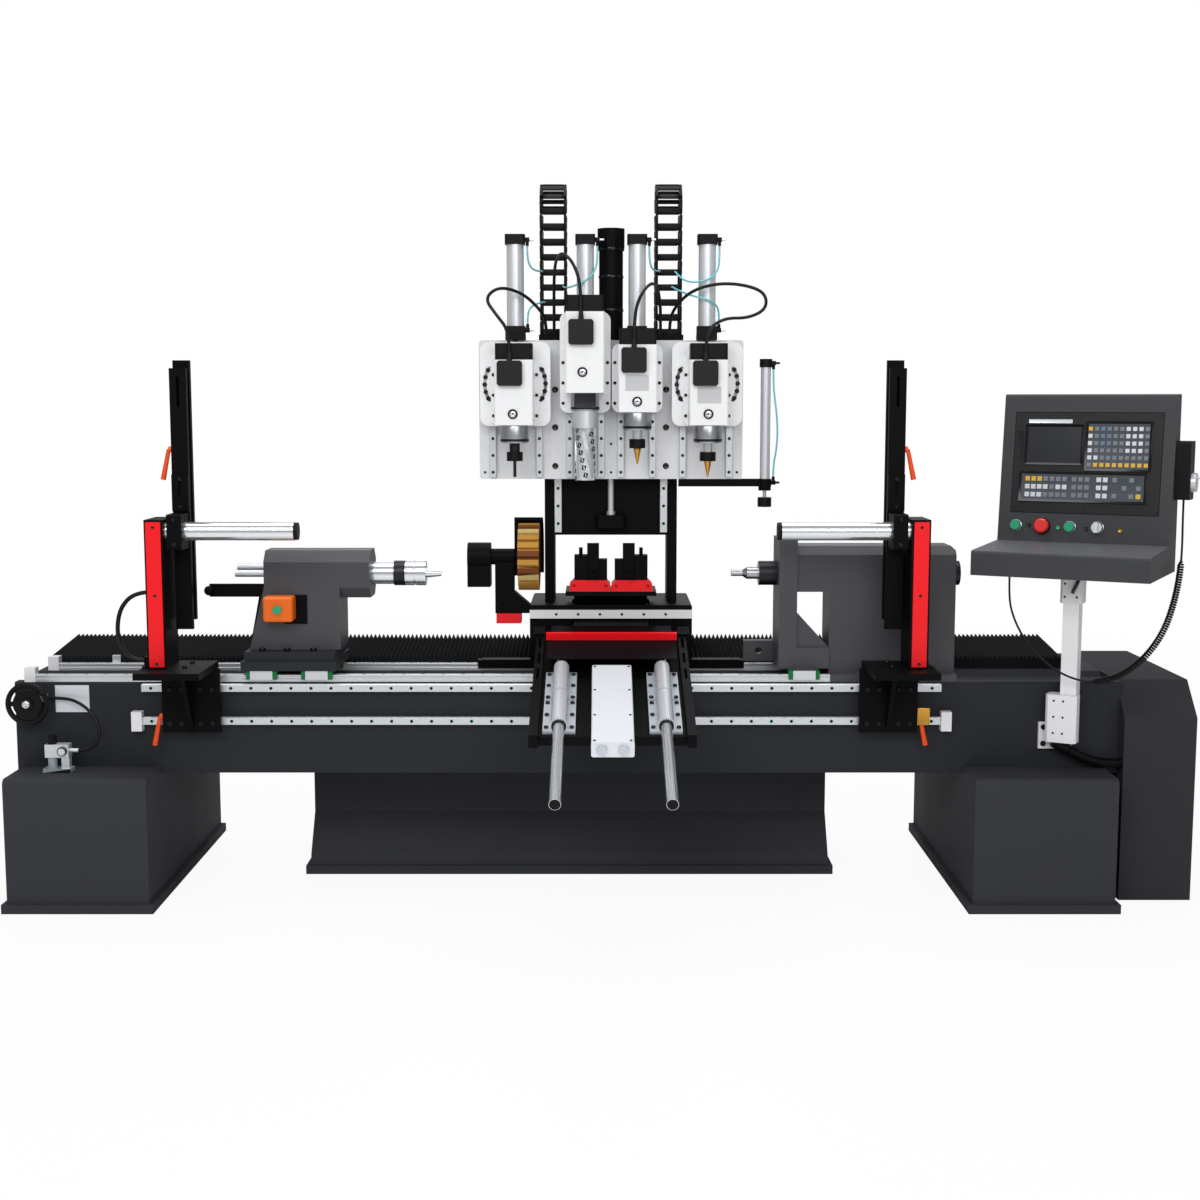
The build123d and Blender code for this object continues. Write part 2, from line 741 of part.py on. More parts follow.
def saddle_guides():
    # carriages under the base and apron, shoe on the rear top rail, lift rails, lift screw and its bearing
    solids = [frame_at(saddle_x + side * saddle_block_spread / 2, y, bed_top, (1, 0, 0), (0, 0, 1))
              * carriage(cap=block_cap) for side in (-1, 1) for y in rear_way_y]
    for side in (-1, 1):
        for drop in (upper_face_rail_drop, upper_face_rail_drop + face_rail_gauge):
            plane = frame_at(saddle_x + side * apron_block_spread / 2, bed_front, bed_top - drop,
                             (1, 0, 0), (0, -1, 0))
            solids.append(plane * carriage())
    solids.append(frame_at(saddle_x, rear_rail_y, bed_top, (1, 0, 0), (0, 0,
                                                                       1)) * carriage(length=shoe_length))
    low = saddle_top + portal_height + lift_rail_bottom
    length = shoulder_z - low
    for side in (-1, 1):
        plane = frame_at(saddle_x + side * lift_rail_spacing / 2, gantry_front, low + length / 2,
                         (0, 0, 1), (0, -1, 0))
        solids.append(plane * rail(length))
    bearing_z = saddle_top + portal_height + bearing_rise
    bearing_front = gantry_front - 2 * lift_screw_standoff - lift_screw_radius
    bearing = block(saddle_x - bearing_width / 2, saddle_x + bearing_width / 2, bearing_front, gantry_front,
                    bearing_z, bearing_z + bearing_height)
    front_edges = bearing.edges().filter_by(Axis.Z).filter_by(
        lambda e: e.center().Y < bearing_front + cut_over)
    bearing = fillet(front_edges, bearing_round)
    boss_top = bearing_z + bearing_height + bearing_boss_height
    bearing += rod_z(saddle_x, lift_screw_y - slide_gap, bearing_z, boss_top, lift_screw_standoff)
    solids.append(bearing)
    solids.append(rod_z(saddle_x, lift_screw_y, boss_top, gantry_top + motor_plate, lift_screw_radius))
    return solids


drive_width = 118
drive_height = 46
drive_length = 493
drive_start = 391
drive_round = 6
connector_radius = 15
connector_length = 8
housing_length = 190
housing_radius = 23
housing_flange_width = 92
housing_flange_thick = 14
rod_spacing = 300
rod_rise = 30
seal_length = 14
seal_inset = 2
guide_rod_radius = 16
housing_start = 374
guide_rod_top = 130
guide_rod_length = 1064


def servo_motors():
    base = gantry_top + motor_plate
    lift = turned_z([(base, motor_radius), (base + motor_length, motor_radius),
                     (base + motor_length, motor_cap_radius),
                     (base + motor_length + motor_cap_length, motor_cap_radius)], saddle_x, lift_screw_y)
    case = block(-drive_width / 2, drive_width / 2, -drive_start - drive_length, -drive_start, 0,
                 drive_height)
    case = fillet(case.edges().filter_by(Axis.Y), drive_round)
    for side in (-1, 1):
        plug = rod_y(side * drive_width / 4, -drive_start - drive_length - connector_length,
                     -drive_start - drive_length, drive_height / 2, connector_radius)
        case += plug
    return [lift, deck_frame * case]


def bearing_housings():
    solids = []
    for side in (-1, 1):
        x = side * rod_spacing / 2
        for i in range(2):
            y1 = -housing_start - i * housing_length
            y0 = y1 - housing_length + cut_over
            flange = block(x - housing_flange_width / 2, x + housing_flange_width / 2, y0, y1, 0,
                           housing_flange_thick)
            web = block(x - housing_radius, x + housing_radius, y0, y1, 0, rod_rise)
            tube = rod_y(x, y0, y1, rod_rise, housing_radius)
            bore = rod_y(x, y0 - cut_over, y1 + cut_over, rod_rise, guide_rod_radius + turn_gap)
            solids.append(deck_frame * (flange + web + tube - bore))
        # wiper ring on the lower end of each pair
        seal = rod_y(x, y0 - seal_length, y0, rod_rise, housing_radius - seal_inset)
        seal -= rod_y(x, y0 - seal_length - cut_over, y0 + cut_over, rod_rise, guide_rod_radius + turn_gap)
        solids.append(deck_frame * seal)
    return solids


def guide_rods():
    return [deck_frame * rod_y(side * rod_spacing / 2, -guide_rod_top - guide_rod_length, -guide_rod_top,
                               rod_rise,
                               guide_rod_radius) for side in (-1, 1)]


# Tool table, carried by the guide rods, and the tool posts on it
crosshead_length = 100
crosshead_gap = 6
crosshead_width = 372
cover_width = 392
cover_thick = 3
cover_gap = 1
ram_width = 240
ram_low = 8
ram_thick = 15
ram_gap = 6
tool_stroke = 100
link_thick = 26
table_lift = 31
table_thick = 14
table_width = 290
scraper_height = 23
scraper_thick = 10
scraper_side_gap = 8
post_spacing = 134
post_base_width = 130
post_base_height = 36
post_base_depth = 86
post_base_bevel = 14
post_base_front = 14
post_keyhole = 5
post_tower_width = 38
post_tower_depth = 34
post_tower_height = 116
post_tower_shift = 10
post_outer_width = 41
post_outer_depth = 58
post_outer_height = 78
post_inner_width = 26
post_inner_depth = 42
post_inner_height = 66
post_edge = 3
post_arm_width = 24
post_knob_radius = 6
post_knob_height = 24
tool_bit_width = 14
tool_bit_reach = 34
table_z = saddle_top + table_lift


def table_link_back():
    # back of the web between ram and table, which stays behind the saddle's bridge over the whole stroke
    return saddle_front + slot_bridge + ram_gap + tool_stroke * deck_cos + link_thick


def tool_table():
    half = crosshead_width / 2
    y1 = -guide_rod_top + cut_over
    y0 = y1 - crosshead_length
    cover_low = rod_rise + housing_radius + cover_gap
    head = block(-half, half, y0, y1, crosshead_gap, cover_low + cover_thick)
    for side in (-1, 1):
        head -= rod_y(side * rod_spacing / 2, y0 - cut_over, -guide_rod_top, rod_rise, guide_rod_radius)
    # sheet over the rods, which slides over the housings as the crosshead comes down
    head += block(-cover_width / 2, cover_width / 2, -housing_start + cut_over, y0, cover_low,
                  cover_low + cover_thick)
    link_back = table_link_back()
    ram_end = (link_back - saddle_front) / deck_cos
    head += block(-ram_width / 2, ram_width / 2, y1 - cut_over, ram_end, ram_low, ram_low + ram_thick)
    head = deck_frame * head
    link_front = link_back - link_thick
    link_low = deck_top_at(link_front) + (ram_low + ram_thick / 2) / deck_cos
    link = block(saddle_x - ram_width / 2, saddle_x + ram_width / 2, link_front, link_back, link_low,
                 table_z + table_thick)
    plate = block(saddle_x - table_width / 2, saddle_x + table_width / 2, saddle_front - post_base_front,
                  link_back, table_z, table_z + table_thick)
    return [head + link + plate]


def tool_posts():
    solids = []
    base_y0 = saddle_front - post_base_front
    top = table_z + table_thick
    z0 = top + post_base_height
    tower_y0 = base_y0 + post_arm_width / 2
    for side in (-1, 1):
        x = saddle_x + side * post_spacing / 2
        half = post_base_width / 2
        base = prism_y([(x - half, top), (x - half, z0 - post_base_bevel), (x - half + post_base_bevel, z0),
                        (x + half - post_base_bevel, z0), (x + half, z0 - post_base_bevel), (x + half, top)],
                       base_y0, base_y0 + post_base_depth)
        for end in (-1, 1):
            base -= rod_y(x + end * (half - post_base_bevel), base_y0 - cut_over, base_y0 + post_base_bevel,
                          (top + z0) / 2, post_keyhole)
        solids.append(base)
        # tall tower towards the middle, a deep clamp block outside it and a low one inside it
        tower_x = x - side * post_tower_shift
        tower = block(tower_x - post_tower_width / 2, tower_x + post_tower_width / 2, tower_y0,
                      tower_y0 + post_tower_depth, z0, z0 + post_tower_height)
        tower = chamfer(tower.edges().filter_by(Axis.Z), post_edge)
        outer_x = tower_x + side * (post_tower_width + post_outer_width) / 2
        outer = block(outer_x - post_outer_width / 2, outer_x + post_outer_width / 2, tower_y0 + post_edge,
                      tower_y0 + post_outer_depth, z0, z0 + post_outer_height)
        inner_x = tower_x - side * (post_tower_width + post_inner_width) / 2
        inner = block(inner_x - post_inner_width / 2, inner_x + post_inner_width / 2, tower_y0 + post_edge,
                      tower_y0 + post_inner_depth, z0, z0 + post_inner_height)
        knob = rod_z(outer_x, tower_y0 + post_outer_depth / 2, z0, z0 + post_outer_height + post_knob_height,
                     post_knob_radius)
        bit = block(tower_x - tool_bit_width / 2, tower_x + tool_bit_width / 2, base_y0 - tool_bit_reach,
                    tower_y0 + cut_over, z0 + tool_bit_width, z0 + 2 * tool_bit_width)
        solids.append(tower + outer + inner + knob + bit)
    y1 = -guide_rod_top + cut_over - crosshead_length
    half = deck_width / 2 - scraper_side_gap
    low = rod_rise + housing_radius + cover_gap + cover_thick
    solids.append(deck_frame * block(-half, half, y1 - scraper_thick, y1, low, low + scraper_height))
    return solids


# Sander beside the portal
sander_setback = 64
sander_rise = 150
sander_radius = 108
sander_width = 67
sander_hub_radius = 62
sander_flaps = 24
sander_flap_depth = 13
sander_flap_share = 0.62
sander_gap = 30
sander_shaft = 14
sander_guard_clear = 9
sander_guard_thick = 10
sander_guard_side = 14
sander_motor_radius = 46
sander_motor_length = 74
sander_motor_box_drop = 95
sander_motor_box_depth = 76
sander_drum_radius = 26
sander_drum_length = 76
sander_arm_width = 62
sander_arm_depth = 40
sander_foot_height = 32
sander_foot_depth = 60
sander_foot_length = 80
sander_knee = 110
sander_y = saddle_front + sander_setback
sander_z = saddle_top + sander_rise
sander_x1 = saddle_x - saddle_width / 2 + sander_gap
sander_x0 = sander_x1 - sander_width


def sanding_wheel():
    hub = rod_x(sander_x0, sander_x1, sander_y, sander_z, sander_hub_radius)
    outer = sander_radius
    step = 2 * math.pi / sander_flaps
    points = []
    for i in range(sander_flaps):
        for offset, radius in ((0, outer - sander_flap_depth), (0, outer), (sander_flap_share * step, outer),
                               (sander_flap_share * step, outer - sander_flap_depth)):
            angle = i * step + offset
            points.append((sander_y + radius * math.cos(angle), sander_z + radius * math.sin(angle)))
    wheel = prism_x(points, sander_x0, sander_x1)
    return [wheel + hub - rod_x(sander_x0 - cut_over, sander_x1 + cut_over, sander_y, sander_z,
                                sander_shaft + turn_gap)]


def sander_arm():
    # motor, drum and shaft on an arm fixed to the saddle's end, with a hood behind the wheel
    drum_x0 = sander_x0 - slide_gap - sander_guard_side - sander_drum_length
    motor_x0 = drum_x0 - sander_motor_length
    spindle = turned_x([(motor_x0, sander_motor_radius), (drum_x0, sander_motor_radius),
                        (drum_x0, sander_drum_radius), (drum_x0 + sander_drum_length, sander_drum_radius),
                        (drum_x0 + sander_drum_length, sander_shaft), (sander_x1, sander_shaft)],
                       sander_y, sander_z)
    spindle += block(motor_x0, drum_x0, sander_y - sander_motor_box_depth / 2,
                     sander_y + sander_motor_box_depth / 2, sander_z - sander_motor_box_drop, sander_z)
    end_x = saddle_x - saddle_width / 2
    arm_x1 = drum_x0 + sander_drum_length
    arm_x0 = arm_x1 - sander_arm_width
    foot_z = saddle_top - sander_foot_height * 2
    foot_top = foot_z + sander_foot_height
    arm = prism_y([(arm_x0, foot_top), (arm_x0, sander_z), (arm_x1, sander_z), (arm_x1,
                                                                                sander_z - sander_knee),
                   (end_x, saddle_top - saddle_edge), (end_x, foot_top)],
                  sander_y - sander_arm_depth / 2, sander_y + sander_arm_depth / 2)
    foot_x0 = arm_x0 + saddle_edge
    foot = block(foot_x0, foot_x0 + sander_foot_length, sander_y - sander_foot_depth / 2,
                 sander_y + sander_foot_depth / 2, foot_z, foot_top)
    inner = sander_radius + sander_guard_clear
    outer = inner + sander_guard_thick
    hood_x1 = sander_x1 + slide_gap + sander_guard_thick
    hood = rod_x(arm_x1, hood_x1, sander_y, sander_z, outer)
    hood -= rod_x(arm_x1 + sander_guard_thick, hood_x1 + cut_over, sander_y, sander_z, inner)
    hood -= block(arm_x1 - cut_over, hood_x1 + cut_over, sander_y - 2 * outer, sander_y, sander_z - 2 * outer,
                  sander_z + 2 * outer)
    hood -= block(arm_x1 - cut_over, hood_x1 + cut_over, sander_y - outer, sander_y + 2 * outer,
                  sander_z - 2 * outer, sander_z - sander_hub_radius)
    return [spindle + arm + foot + hood]


# Head plate with four router spindles on air cylinders
head_width = 834
head_height = 436
head_thick = 24
head_rise = 403
lift_spacer = 24
head_block_length = 70
head_block_rise = 36
nut_half = 40
nut_height = 60
nut_rise = 150
head_edge = 6
chain_bracket_thick = 18
slide_zone = 44
slide_plate = 16
spindle_depth = 100
spindle_width = 120
outer_spindle = 300
inner_spindle = 81
outer_gauge = 147
inner_gauge = 100
cylinder_radius = 27
cylinder_tube = 251
cylinder_cap = 62
cylinder_cap_height = 31
cylinder_foot_height = 25
cylinder_mount = 18
cylinder_rod_radius = 8
cylinder_head_room = 24
fitting_size = 14
fitting_stub_radius = 3.5
fitting_stub_length = 13
fitting_collar_radius = 5
fitting_collar_height = 12
head_back = gantry_front - block_height - lift_spacer
head_front = head_back - head_thick
head_bottom = saddle_top + head_rise
head_top = head_bottom + head_height
cylinder_y = head_front - slide_zone / 2 + cylinder_radius / 4
spindle_y = head_front - slide_zone - slide_plate - spindle_depth / 2
spindle_offsets = (-outer_spindle, -inner_spindle, inner_spindle, outer_spindle)
spindle_gauges = (outer_gauge, inner_gauge, inner_gauge, outer_gauge)


def head_plate():
    half = head_width / 2
    plate = block(saddle_x - half, saddle_x + half, head_front, head_back, head_bottom, head_top)
    plate = chamfer(plate.edges().filter_by(Axis.Y), head_edge)
    solids = [plate]
    mid = head_bottom + head_block_rise
    for side in (-1, 1):
        x = saddle_x + side * lift_rail_spacing / 2
        for level in (0, 1):
            z = mid + level * (head_block_length + head_edge)
            solids.append(frame_at(x, gantry_front, z, (0, 0, 1), (0, -1, 0)) * carriage(head_block_length))
        low, high = mid - head_block_length / 2, mid + head_block_length * 3 / 2 + head_edge
        solids.append(block(x - block_width / 2, x + block_width / 2, head_back, head_back + lift_spacer,
                            low, high))
        chain_x = saddle_x + side * chain_spacing / 2
        reach = gantry_back + chain_gap + chain_thick / 2 - 2 * chain_bend + chain_thick / 2
        solids.append(block(chain_x - chain_width / 2, chain_x + chain_width / 2, head_front, reach, head_top,
                            head_top + chain_bracket_thick))
    nut = block(saddle_x - nut_half, saddle_x + nut_half, head_back, gantry_front - slide_gap,
                head_bottom + nut_rise, head_bottom + nut_rise + nut_height)
    bore = rod_z(saddle_x, lift_screw_y, head_bottom, head_top, lift_screw_radius + turn_gap)
    solids.append(nut - bore)
    return solids


def spindle_rails():
    solids = []
    for offset, gauge in zip(spindle_offsets, spindle_gauges):
        for side in (-1, 1):
            plane = frame_at(saddle_x + offset + side * gauge / 2, head_front, (head_bottom + head_top) / 2,
                             (0, 0, 1), (0, -1, 0))
            solids.append(plane * rail(head_height - 2 * head_edge, small_rail_width, small_rail_height))
    return solids


def tube_fitting(x, y, z, way):
    # elbow screwed into a cap's right side at x, with a collar that takes a tube upwards or downwards
    half = fitting_size / 2
    body = block(x, x + fitting_size, y - half, y + half, z - half, z + half)
    body = chamfer(body.edges().filter_by(Axis.X), half / 4)
    stub = rod_x(x + fitting_size, x + fitting_size + fitting_stub_length, y, z, fitting_stub_radius)
    near, far = z + way * half, z + way * (half + fitting_collar_height)
    return body + stub + rod_z(x + half, y, min(near, far), max(near, far), fitting_collar_radius)


def air_cylinders():
    solids = []
    half = cylinder_cap / 2
    cap_front = head_front - slide_zone + slide_gap
    cap_back = 2 * cylinder_y - cap_front
    for offset in spindle_offsets:
        x = saddle_x + offset
        z0 = head_top
        z1 = z0 + cylinder_mount
        z2 = z1 + cylinder_foot_height
        z3 = z2 + cylinder_tube
        z4 = z3 + cylinder_cap_height
        mount = block(x - half, x + half, cap_front, head_back, z0, z1)
        foot = block(x - half, x + half, cap_front, cap_back, z1, z2)
        tube = rod_z(x, cylinder_y, z2, z3, cylinder_radius)
        cap = block(x - half, x + half, cap_front, cap_back, z3, z4)
        cap = chamfer(cap.edges().filter_by(Axis.Z), head_edge)
        bore = rod_z(x, cylinder_y, z0 - cut_over, z3 - cylinder_head_room, cylinder_rod_radius + turn_gap)
        unit = mount + foot + tube + cap - bore
        unit += tube_fitting(x + half, cylinder_y, (z3 + z4) / 2, -1)
        if abs(offset) == outer_spindle:
            unit += tube_fitting(x + half, cylinder_y, (z1 + z2) / 2, 1)
        solids.append(unit)
    return solids


# Spindle units: the outer two swivel on a wider plate, the second holds a long cutter and stands raised
unit_plate_round = 28
swivel_width = 220
swivel_level = 268
swivel_plate_height = 261
swivel_body_level = 264
swivel_body_height = 200
swivel_box_drop = 3
swivel_slot_radius = 95
swivel_slot_width = 10
swivel_slot_length = 108
tilt_plate_width = 150
tilt_plate_height = 214
tilt_plate_thick = 12
plain_width = 158
plain_level = 227
plain_plate_height = 217
plain_body_level = 224
plain_body_height = 206
plain_box_drop = 9
cutter_plate_height = 313
cutter_body_level = 165
cutter_body_height = 247
cutter_box_drop = 24
body_round = 8
cap_height = 50
cap_inset = 3
junction_width = 77
junction_height = 77
junction_depth = 18
junction_shift = 12
boot_root = 8.5
boot_tip = 6.5
boot_height = 26
nose_collar_radius = 43
nose_collar_height = 55
rotor_bore = 17
shaft_radius = 16
shaft_drop = 28
nut_radius = 25
collet_height = 28
bit_radius = 5
bit_length = 50
arbor_radius = 40
arbor_height = 108
cutter_radius = 31
cutter_height = 161
cutter_flutes = 4
cutter_slot = 9
cutter_turn = 70
cutter_sections = 5
lug_rise = 80
lug_height = 30
lug_width = 40
short_rod = 165
long_rod = 260
unit_rods = (short_rod, long_rod, short_rod, short_rod)
unit_levels = (swivel_level, plain_level, plain_level, swivel_level)
unit_plate_heights = (swivel_plate_height, cutter_plate_height, plain_plate_height, swivel_plate_height)
unit_body_levels = (swivel_body_level, cutter_body_level, plain_body_level, swivel_body_level)
unit_body_heights = (swivel_body_height, cutter_body_height, plain_body_height, swivel_body_height)
unit_box_drops = (swivel_box_drop, cutter_box_drop, plain_box_drop, swivel_box_drop)
unit_swivels = (True, False, False, True)
unit_cutters = (False, True, False, False)
unit_cones = (False, False, True, True)
cone_root = 12
cone_tip = 2
plate_front = head_front - slide_zone - slide_plate


def swivel_plate(x, z):
    # wide slide plate with two arc slots, and the tilting plate clamped to its front
    half = swivel_width / 2
    plate = block(x - half, x + half, plate_front, plate_front + slide_plate, z, z + swivel_plate_height)
    plate = fillet(plate.edges().filter_by(Axis.Y), unit_plate_round)
    pivot_z = z + swivel_plate_height / 2
    y0, y1 = plate_front - cut_over, plate_front + slide_plate + cut_over
    ring = rod_y(x, y0, y1, pivot_z, swivel_slot_radius + swivel_slot_width / 2)
    ring -= rod_y(x, y0 - cut_over, y1 + cut_over, pivot_z, swivel_slot_radius - swivel_slot_width / 2)
    plate -= ring & block(x - half, x + half, y0, y1, pivot_z - swivel_slot_length / 2,
                          pivot_z + swivel_slot_length / 2)
    tilt = block(x - tilt_plate_width / 2, x + tilt_plate_width / 2, plate_front - tilt_plate_thick,
                 plate_front,
                 z, z + tilt_plate_height)
    return plate + chamfer(tilt.edges().filter_by(Axis.Y), unit_plate_round / 2)


def spindle_unit(i):
    x = saddle_x + spindle_offsets[i]
    z = head_top - unit_levels[i]
    body_back = plate_front
    if unit_swivels[i]:
        plate = swivel_plate(x, z)
        body_back -= tilt_plate_thick
    else:
        plate = block(x - plain_width / 2, x + plain_width / 2, plate_front, plate_front + slide_plate, z,
                      z + unit_plate_heights[i])
        plate = fillet(plate.edges().filter_by(Axis.Y), unit_plate_round)
    body_y0 = plate_front - spindle_depth
    body_z0 = head_top - unit_body_levels[i]
    body_z1 = body_z0 + unit_body_heights[i]
    half = spindle_width / 2

    def housing(inset, z0, z1):
        case = block(x - half + inset, x + half - inset, body_y0 + inset, body_back, z0, z1)
        front = case.edges().filter_by(Axis.Z).filter_by(lambda e: e.center().Y < body_back - cut_over)
        return fillet(front, body_round)

    body = housing(0, body_z0, body_z1)
    cap = housing(cap_inset, body_z1, body_z1 + cap_height)
    box_x = x - junction_shift
    box_top = body_z1 - unit_box_drops[i]
    junction = block(box_x - junction_width / 2, box_x + junction_width / 2, body_y0 - junction_depth,
                     body_y0,
                     box_top - junction_height, box_top)
    junction = chamfer(junction.edges().filter_by(Axis.Y), head_edge)
    junction += turned_z([(box_top, boot_root), (box_top + boot_height, boot_tip)], box_x,
                         body_y0 - junction_depth / 2)
    collar = rod_z(x, spindle_y, body_z0 - nose_collar_height, body_z0, nose_collar_radius)
    bore = rod_z(x, spindle_y, body_z0 - nose_collar_height - cut_over, body_z0 + unit_body_heights[i] / 2,
                 rotor_bore)
    lug = block(x - lug_width / 2, x + lug_width / 2, plate_front + slide_plate,
                head_front - slide_gap, z + lug_rise, z + lug_rise + lug_height)
    rod = rod_z(x, cylinder_y, z + lug_rise, head_top + unit_rods[i], cylinder_rod_radius)
    solids = [plate + lug + rod, body + collar - bore, cap, junction]
    first = z + small_block_length / 2 + head_edge
    for side in (-1, 1):
        for level in (first, first + small_block_length + 2 * head_edge):
            plane = frame_at(x + side * spindle_gauges[i] / 2, head_front, level, (0, 0, 1), (0, -1, 0))
            solids.append(plane * carriage(small_block_length, small_block_width, slide_zone,
                                           small_block_lift,
                                           small_rail_width, small_rail_height))
    return solids


def helical_cutter(x, z_top):
    # slotted cylinder whose flutes wind down it, made by twisting one section through stacked lofts
    core = cutter_radius - cutter_slot

    def section(turn):
        points = []
        for k in range(cutter_flutes):
            base = math.radians(turn + 360 / cutter_flutes * k)
            for share, radius in ((0, cutter_radius), (1 / 3, cutter_radius), (2 / 3, cutter_radius),
                                  (2 / 3, core),
                                  (1, core)):
                angle = base + share * 2 * math.pi / cutter_flutes
                points.append((radius * math.cos(angle), radius * math.sin(angle)))
        return make_face(Polyline(*points, close=True))

    step = cutter_height / cutter_sections
    faces = [Pos(x, spindle_y, z_top - i * step) * section(cutter_turn * i / cutter_sections)
             for i in range(cutter_sections + 1)]
    return loft(faces, ruled=True)


def spindle_rotor(i):
    x = saddle_x + spindle_offsets[i]
    body_z0 = head_top - unit_body_levels[i]
    collar_z = body_z0 - nose_collar_height
    top = body_z0 + unit_body_heights[i] / 2 - slide_gap
    shaft_end = collar_z - shaft_drop
    shaft = rotor_bore - turn_gap
    if unit_cutters[i]:
        arbor_end = collar_z - slide_gap - arbor_height + nose_collar_height
        arbor = turned_z([(arbor_end, arbor_radius), (collar_z - slide_gap, arbor_radius),
                          (collar_z - slide_gap, shaft), (top, shaft)], x, spindle_y)
        return [arbor, helical_cutter(x, arbor_end)]
    nut_end = shaft_end - collet_height
    root, tip = (cone_root, cone_tip) if unit_cones[i] else (bit_radius, bit_radius)
    return [turned_z([(nut_end - bit_length, tip), (nut_end, root), (nut_end, nut_radius), (shaft_end,
                                                                                            nut_radius),
                      (shaft_end, shaft_radius), (collar_z, shaft_radius), (collar_z, shaft), (top, shaft)],
                     x, spindle_y)]


def chain_loop(x):
    # ladder of links standing on the head's bracket, over a bend, and down to the shelf on the gantry
    back = gantry_back + chain_gap + chain_thick / 2
    front = back - 2 * chain_bend
    foot = head_top + chain_bracket_thick
    bend_z = foot + chain_top_rise
    mid = (front + back) / 2

    def band(inner, outer, x0, x1):
        ring = rod_x(x0, x1, mid, bend_z, outer) - rod_x(x0 - cut_over, x1 + cut_over, mid, bend_z, inner)
        ring -= block(x0 - cut_over, x1 + cut_over, mid - 2 * outer, mid + 2 * outer, bend_z - 2 * outer,
                      bend_z)
        legs = (block(x0, x1, mid - outer, mid - inner, foot, bend_z)
                + block(x0, x1, mid + inner, mid + outer, shoulder_z, bend_z))
        return ring + legs

    inner, outer = chain_bend - chain_thick / 2, chain_bend + chain_thick / 2
    half = chain_width / 2
    loop = band(inner, outer, x - half, x - half + chain_wall) + band(inner, outer, x + half - chain_wall,
                                                                      x + half)
    for leg_y, low in ((front, foot), (back, shoulder_z)):
        count = int((bend_z - low) / chain_pitch)
        for i in range(count):
            z = low + i * chain_pitch
            loop += block(x - half, x + half, leg_y - chain_thick / 2, leg_y + chain_thick / 2, z,
                          z + chain_rung)
    turns = int(math.pi * chain_bend / chain_pitch) + 1
    for i in range(turns):
        angle = 180 / turns * (i + 1 / 2)
        rung = block(-half, half, chain_bend - chain_thick / 2, chain_bend + chain_thick / 2, -chain_rung / 2,
                     chain_rung / 2)
        loop += Pos(x, mid, bend_z) * Rot(angle, 0, 0) * rung
    return loop


def drag_chains():
    return [chain_loop(saddle_x + side * chain_spacing / 2) for side in (-1, 1)]


# Stop cylinder hung from the right of the head
positioner_gap = 73
positioner_bar_height = 24
positioner_bar_start = 215
positioner_radius = 16
positioner_height = 378
positioner_cap_radius = 20
positioner_cap_height = 26
positioner_rod_radius = 6
positioner_drop = 22
positioner_foot_radius = 22
positioner_foot_height = 30
positioner_fitting_sink = 3


def positioner():
    x = saddle_x + head_width / 2 + positioner_gap
    y = (head_front + head_back) / 2
    z1 = head_bottom
    z0 = z1 - positioner_bar_height
    bar = block(saddle_x + positioner_bar_start, x + positioner_cap_radius, head_front, head_back, z0, z1)
    barrel = turned_z([(z0 - positioner_cap_height / 2, positioner_cap_radius), (z1, positioner_cap_radius),
                       (z1, positioner_radius), (z1 + positioner_height - positioner_cap_height,
                                                 positioner_radius),
                       (z1 + positioner_height - positioner_cap_height, positioner_cap_radius),
                       (z1 + positioner_height, positioner_cap_radius)], x, y)
    bore = rod_z(x, y, z0 - positioner_cap_height, z1 + positioner_height / 2,
                 positioner_rod_radius + turn_gap)
    top = tube_fitting(x + positioner_cap_radius - positioner_fitting_sink, y,
                       z1 + positioner_height - positioner_cap_height / 2, -1)
    low = tube_fitting(x + positioner_cap_radius, y, (z0 + z1) / 2, 1)
    return [bar + barrel - bore + top + low]


def positioner_rod():
    x = saddle_x + head_width / 2 + positioner_gap
    y = (head_front + head_back) / 2
    z = head_bottom - positioner_bar_height - positioner_cap_height / 2 - positioner_drop
    foot = z - positioner_foot_height
    return [turned_z([(foot, positioner_foot_radius), (z, positioner_foot_radius), (z, positioner_rod_radius),
                      (head_bottom + positioner_height / 2 - positioner_foot_height,
                       positioner_rod_radius)], x, y)]


# Magazine loaders on the face rails
left_loader_x = -1150
right_loader_x = 982
loader_plate_width = 177
loader_plate_height = 198
loader_plate_thick = 16
loader_shelf_width = 194
loader_shelf_depth = 254
loader_shelf_thick = 20
loader_shelf_rise = 70
loader_shelf_back = 18
loader_rib = 14
loader_rib_reach = 110
loader_block_spread = 80
loader_post_width = 56
loader_post_depth = 142
loader_post_height = 443
loader_post_front = 90
loader_post_offset = 64
loader_cover_thick = 6
loader_cover_margin = 6
loader_rod_radius = 27.5
loader_rod_drop = 36
loader_rod_length = 380
loader_rod_setback = 40
loader_rod_collar = 3
lever_radius = 6
lever_length = 92
lever_lean = 12
lever_tip = 8
lever_hub = 9
arm_offset = 62
clamp_width = 44
clamp_half_height = 52
clamp_edge = 4
clamp_plate_height = 110
clamp_plate_thick = 8
clamp_radius = 46
clamp_slot = 4
bar_width = 50
bar_thick = 18
bar_gap = 28
bar_front_top = 480
bar_front_low = 300
bar_back_over = 24
bar_slot_width = 9
bar_slot_length = 90
bar_clear = 3


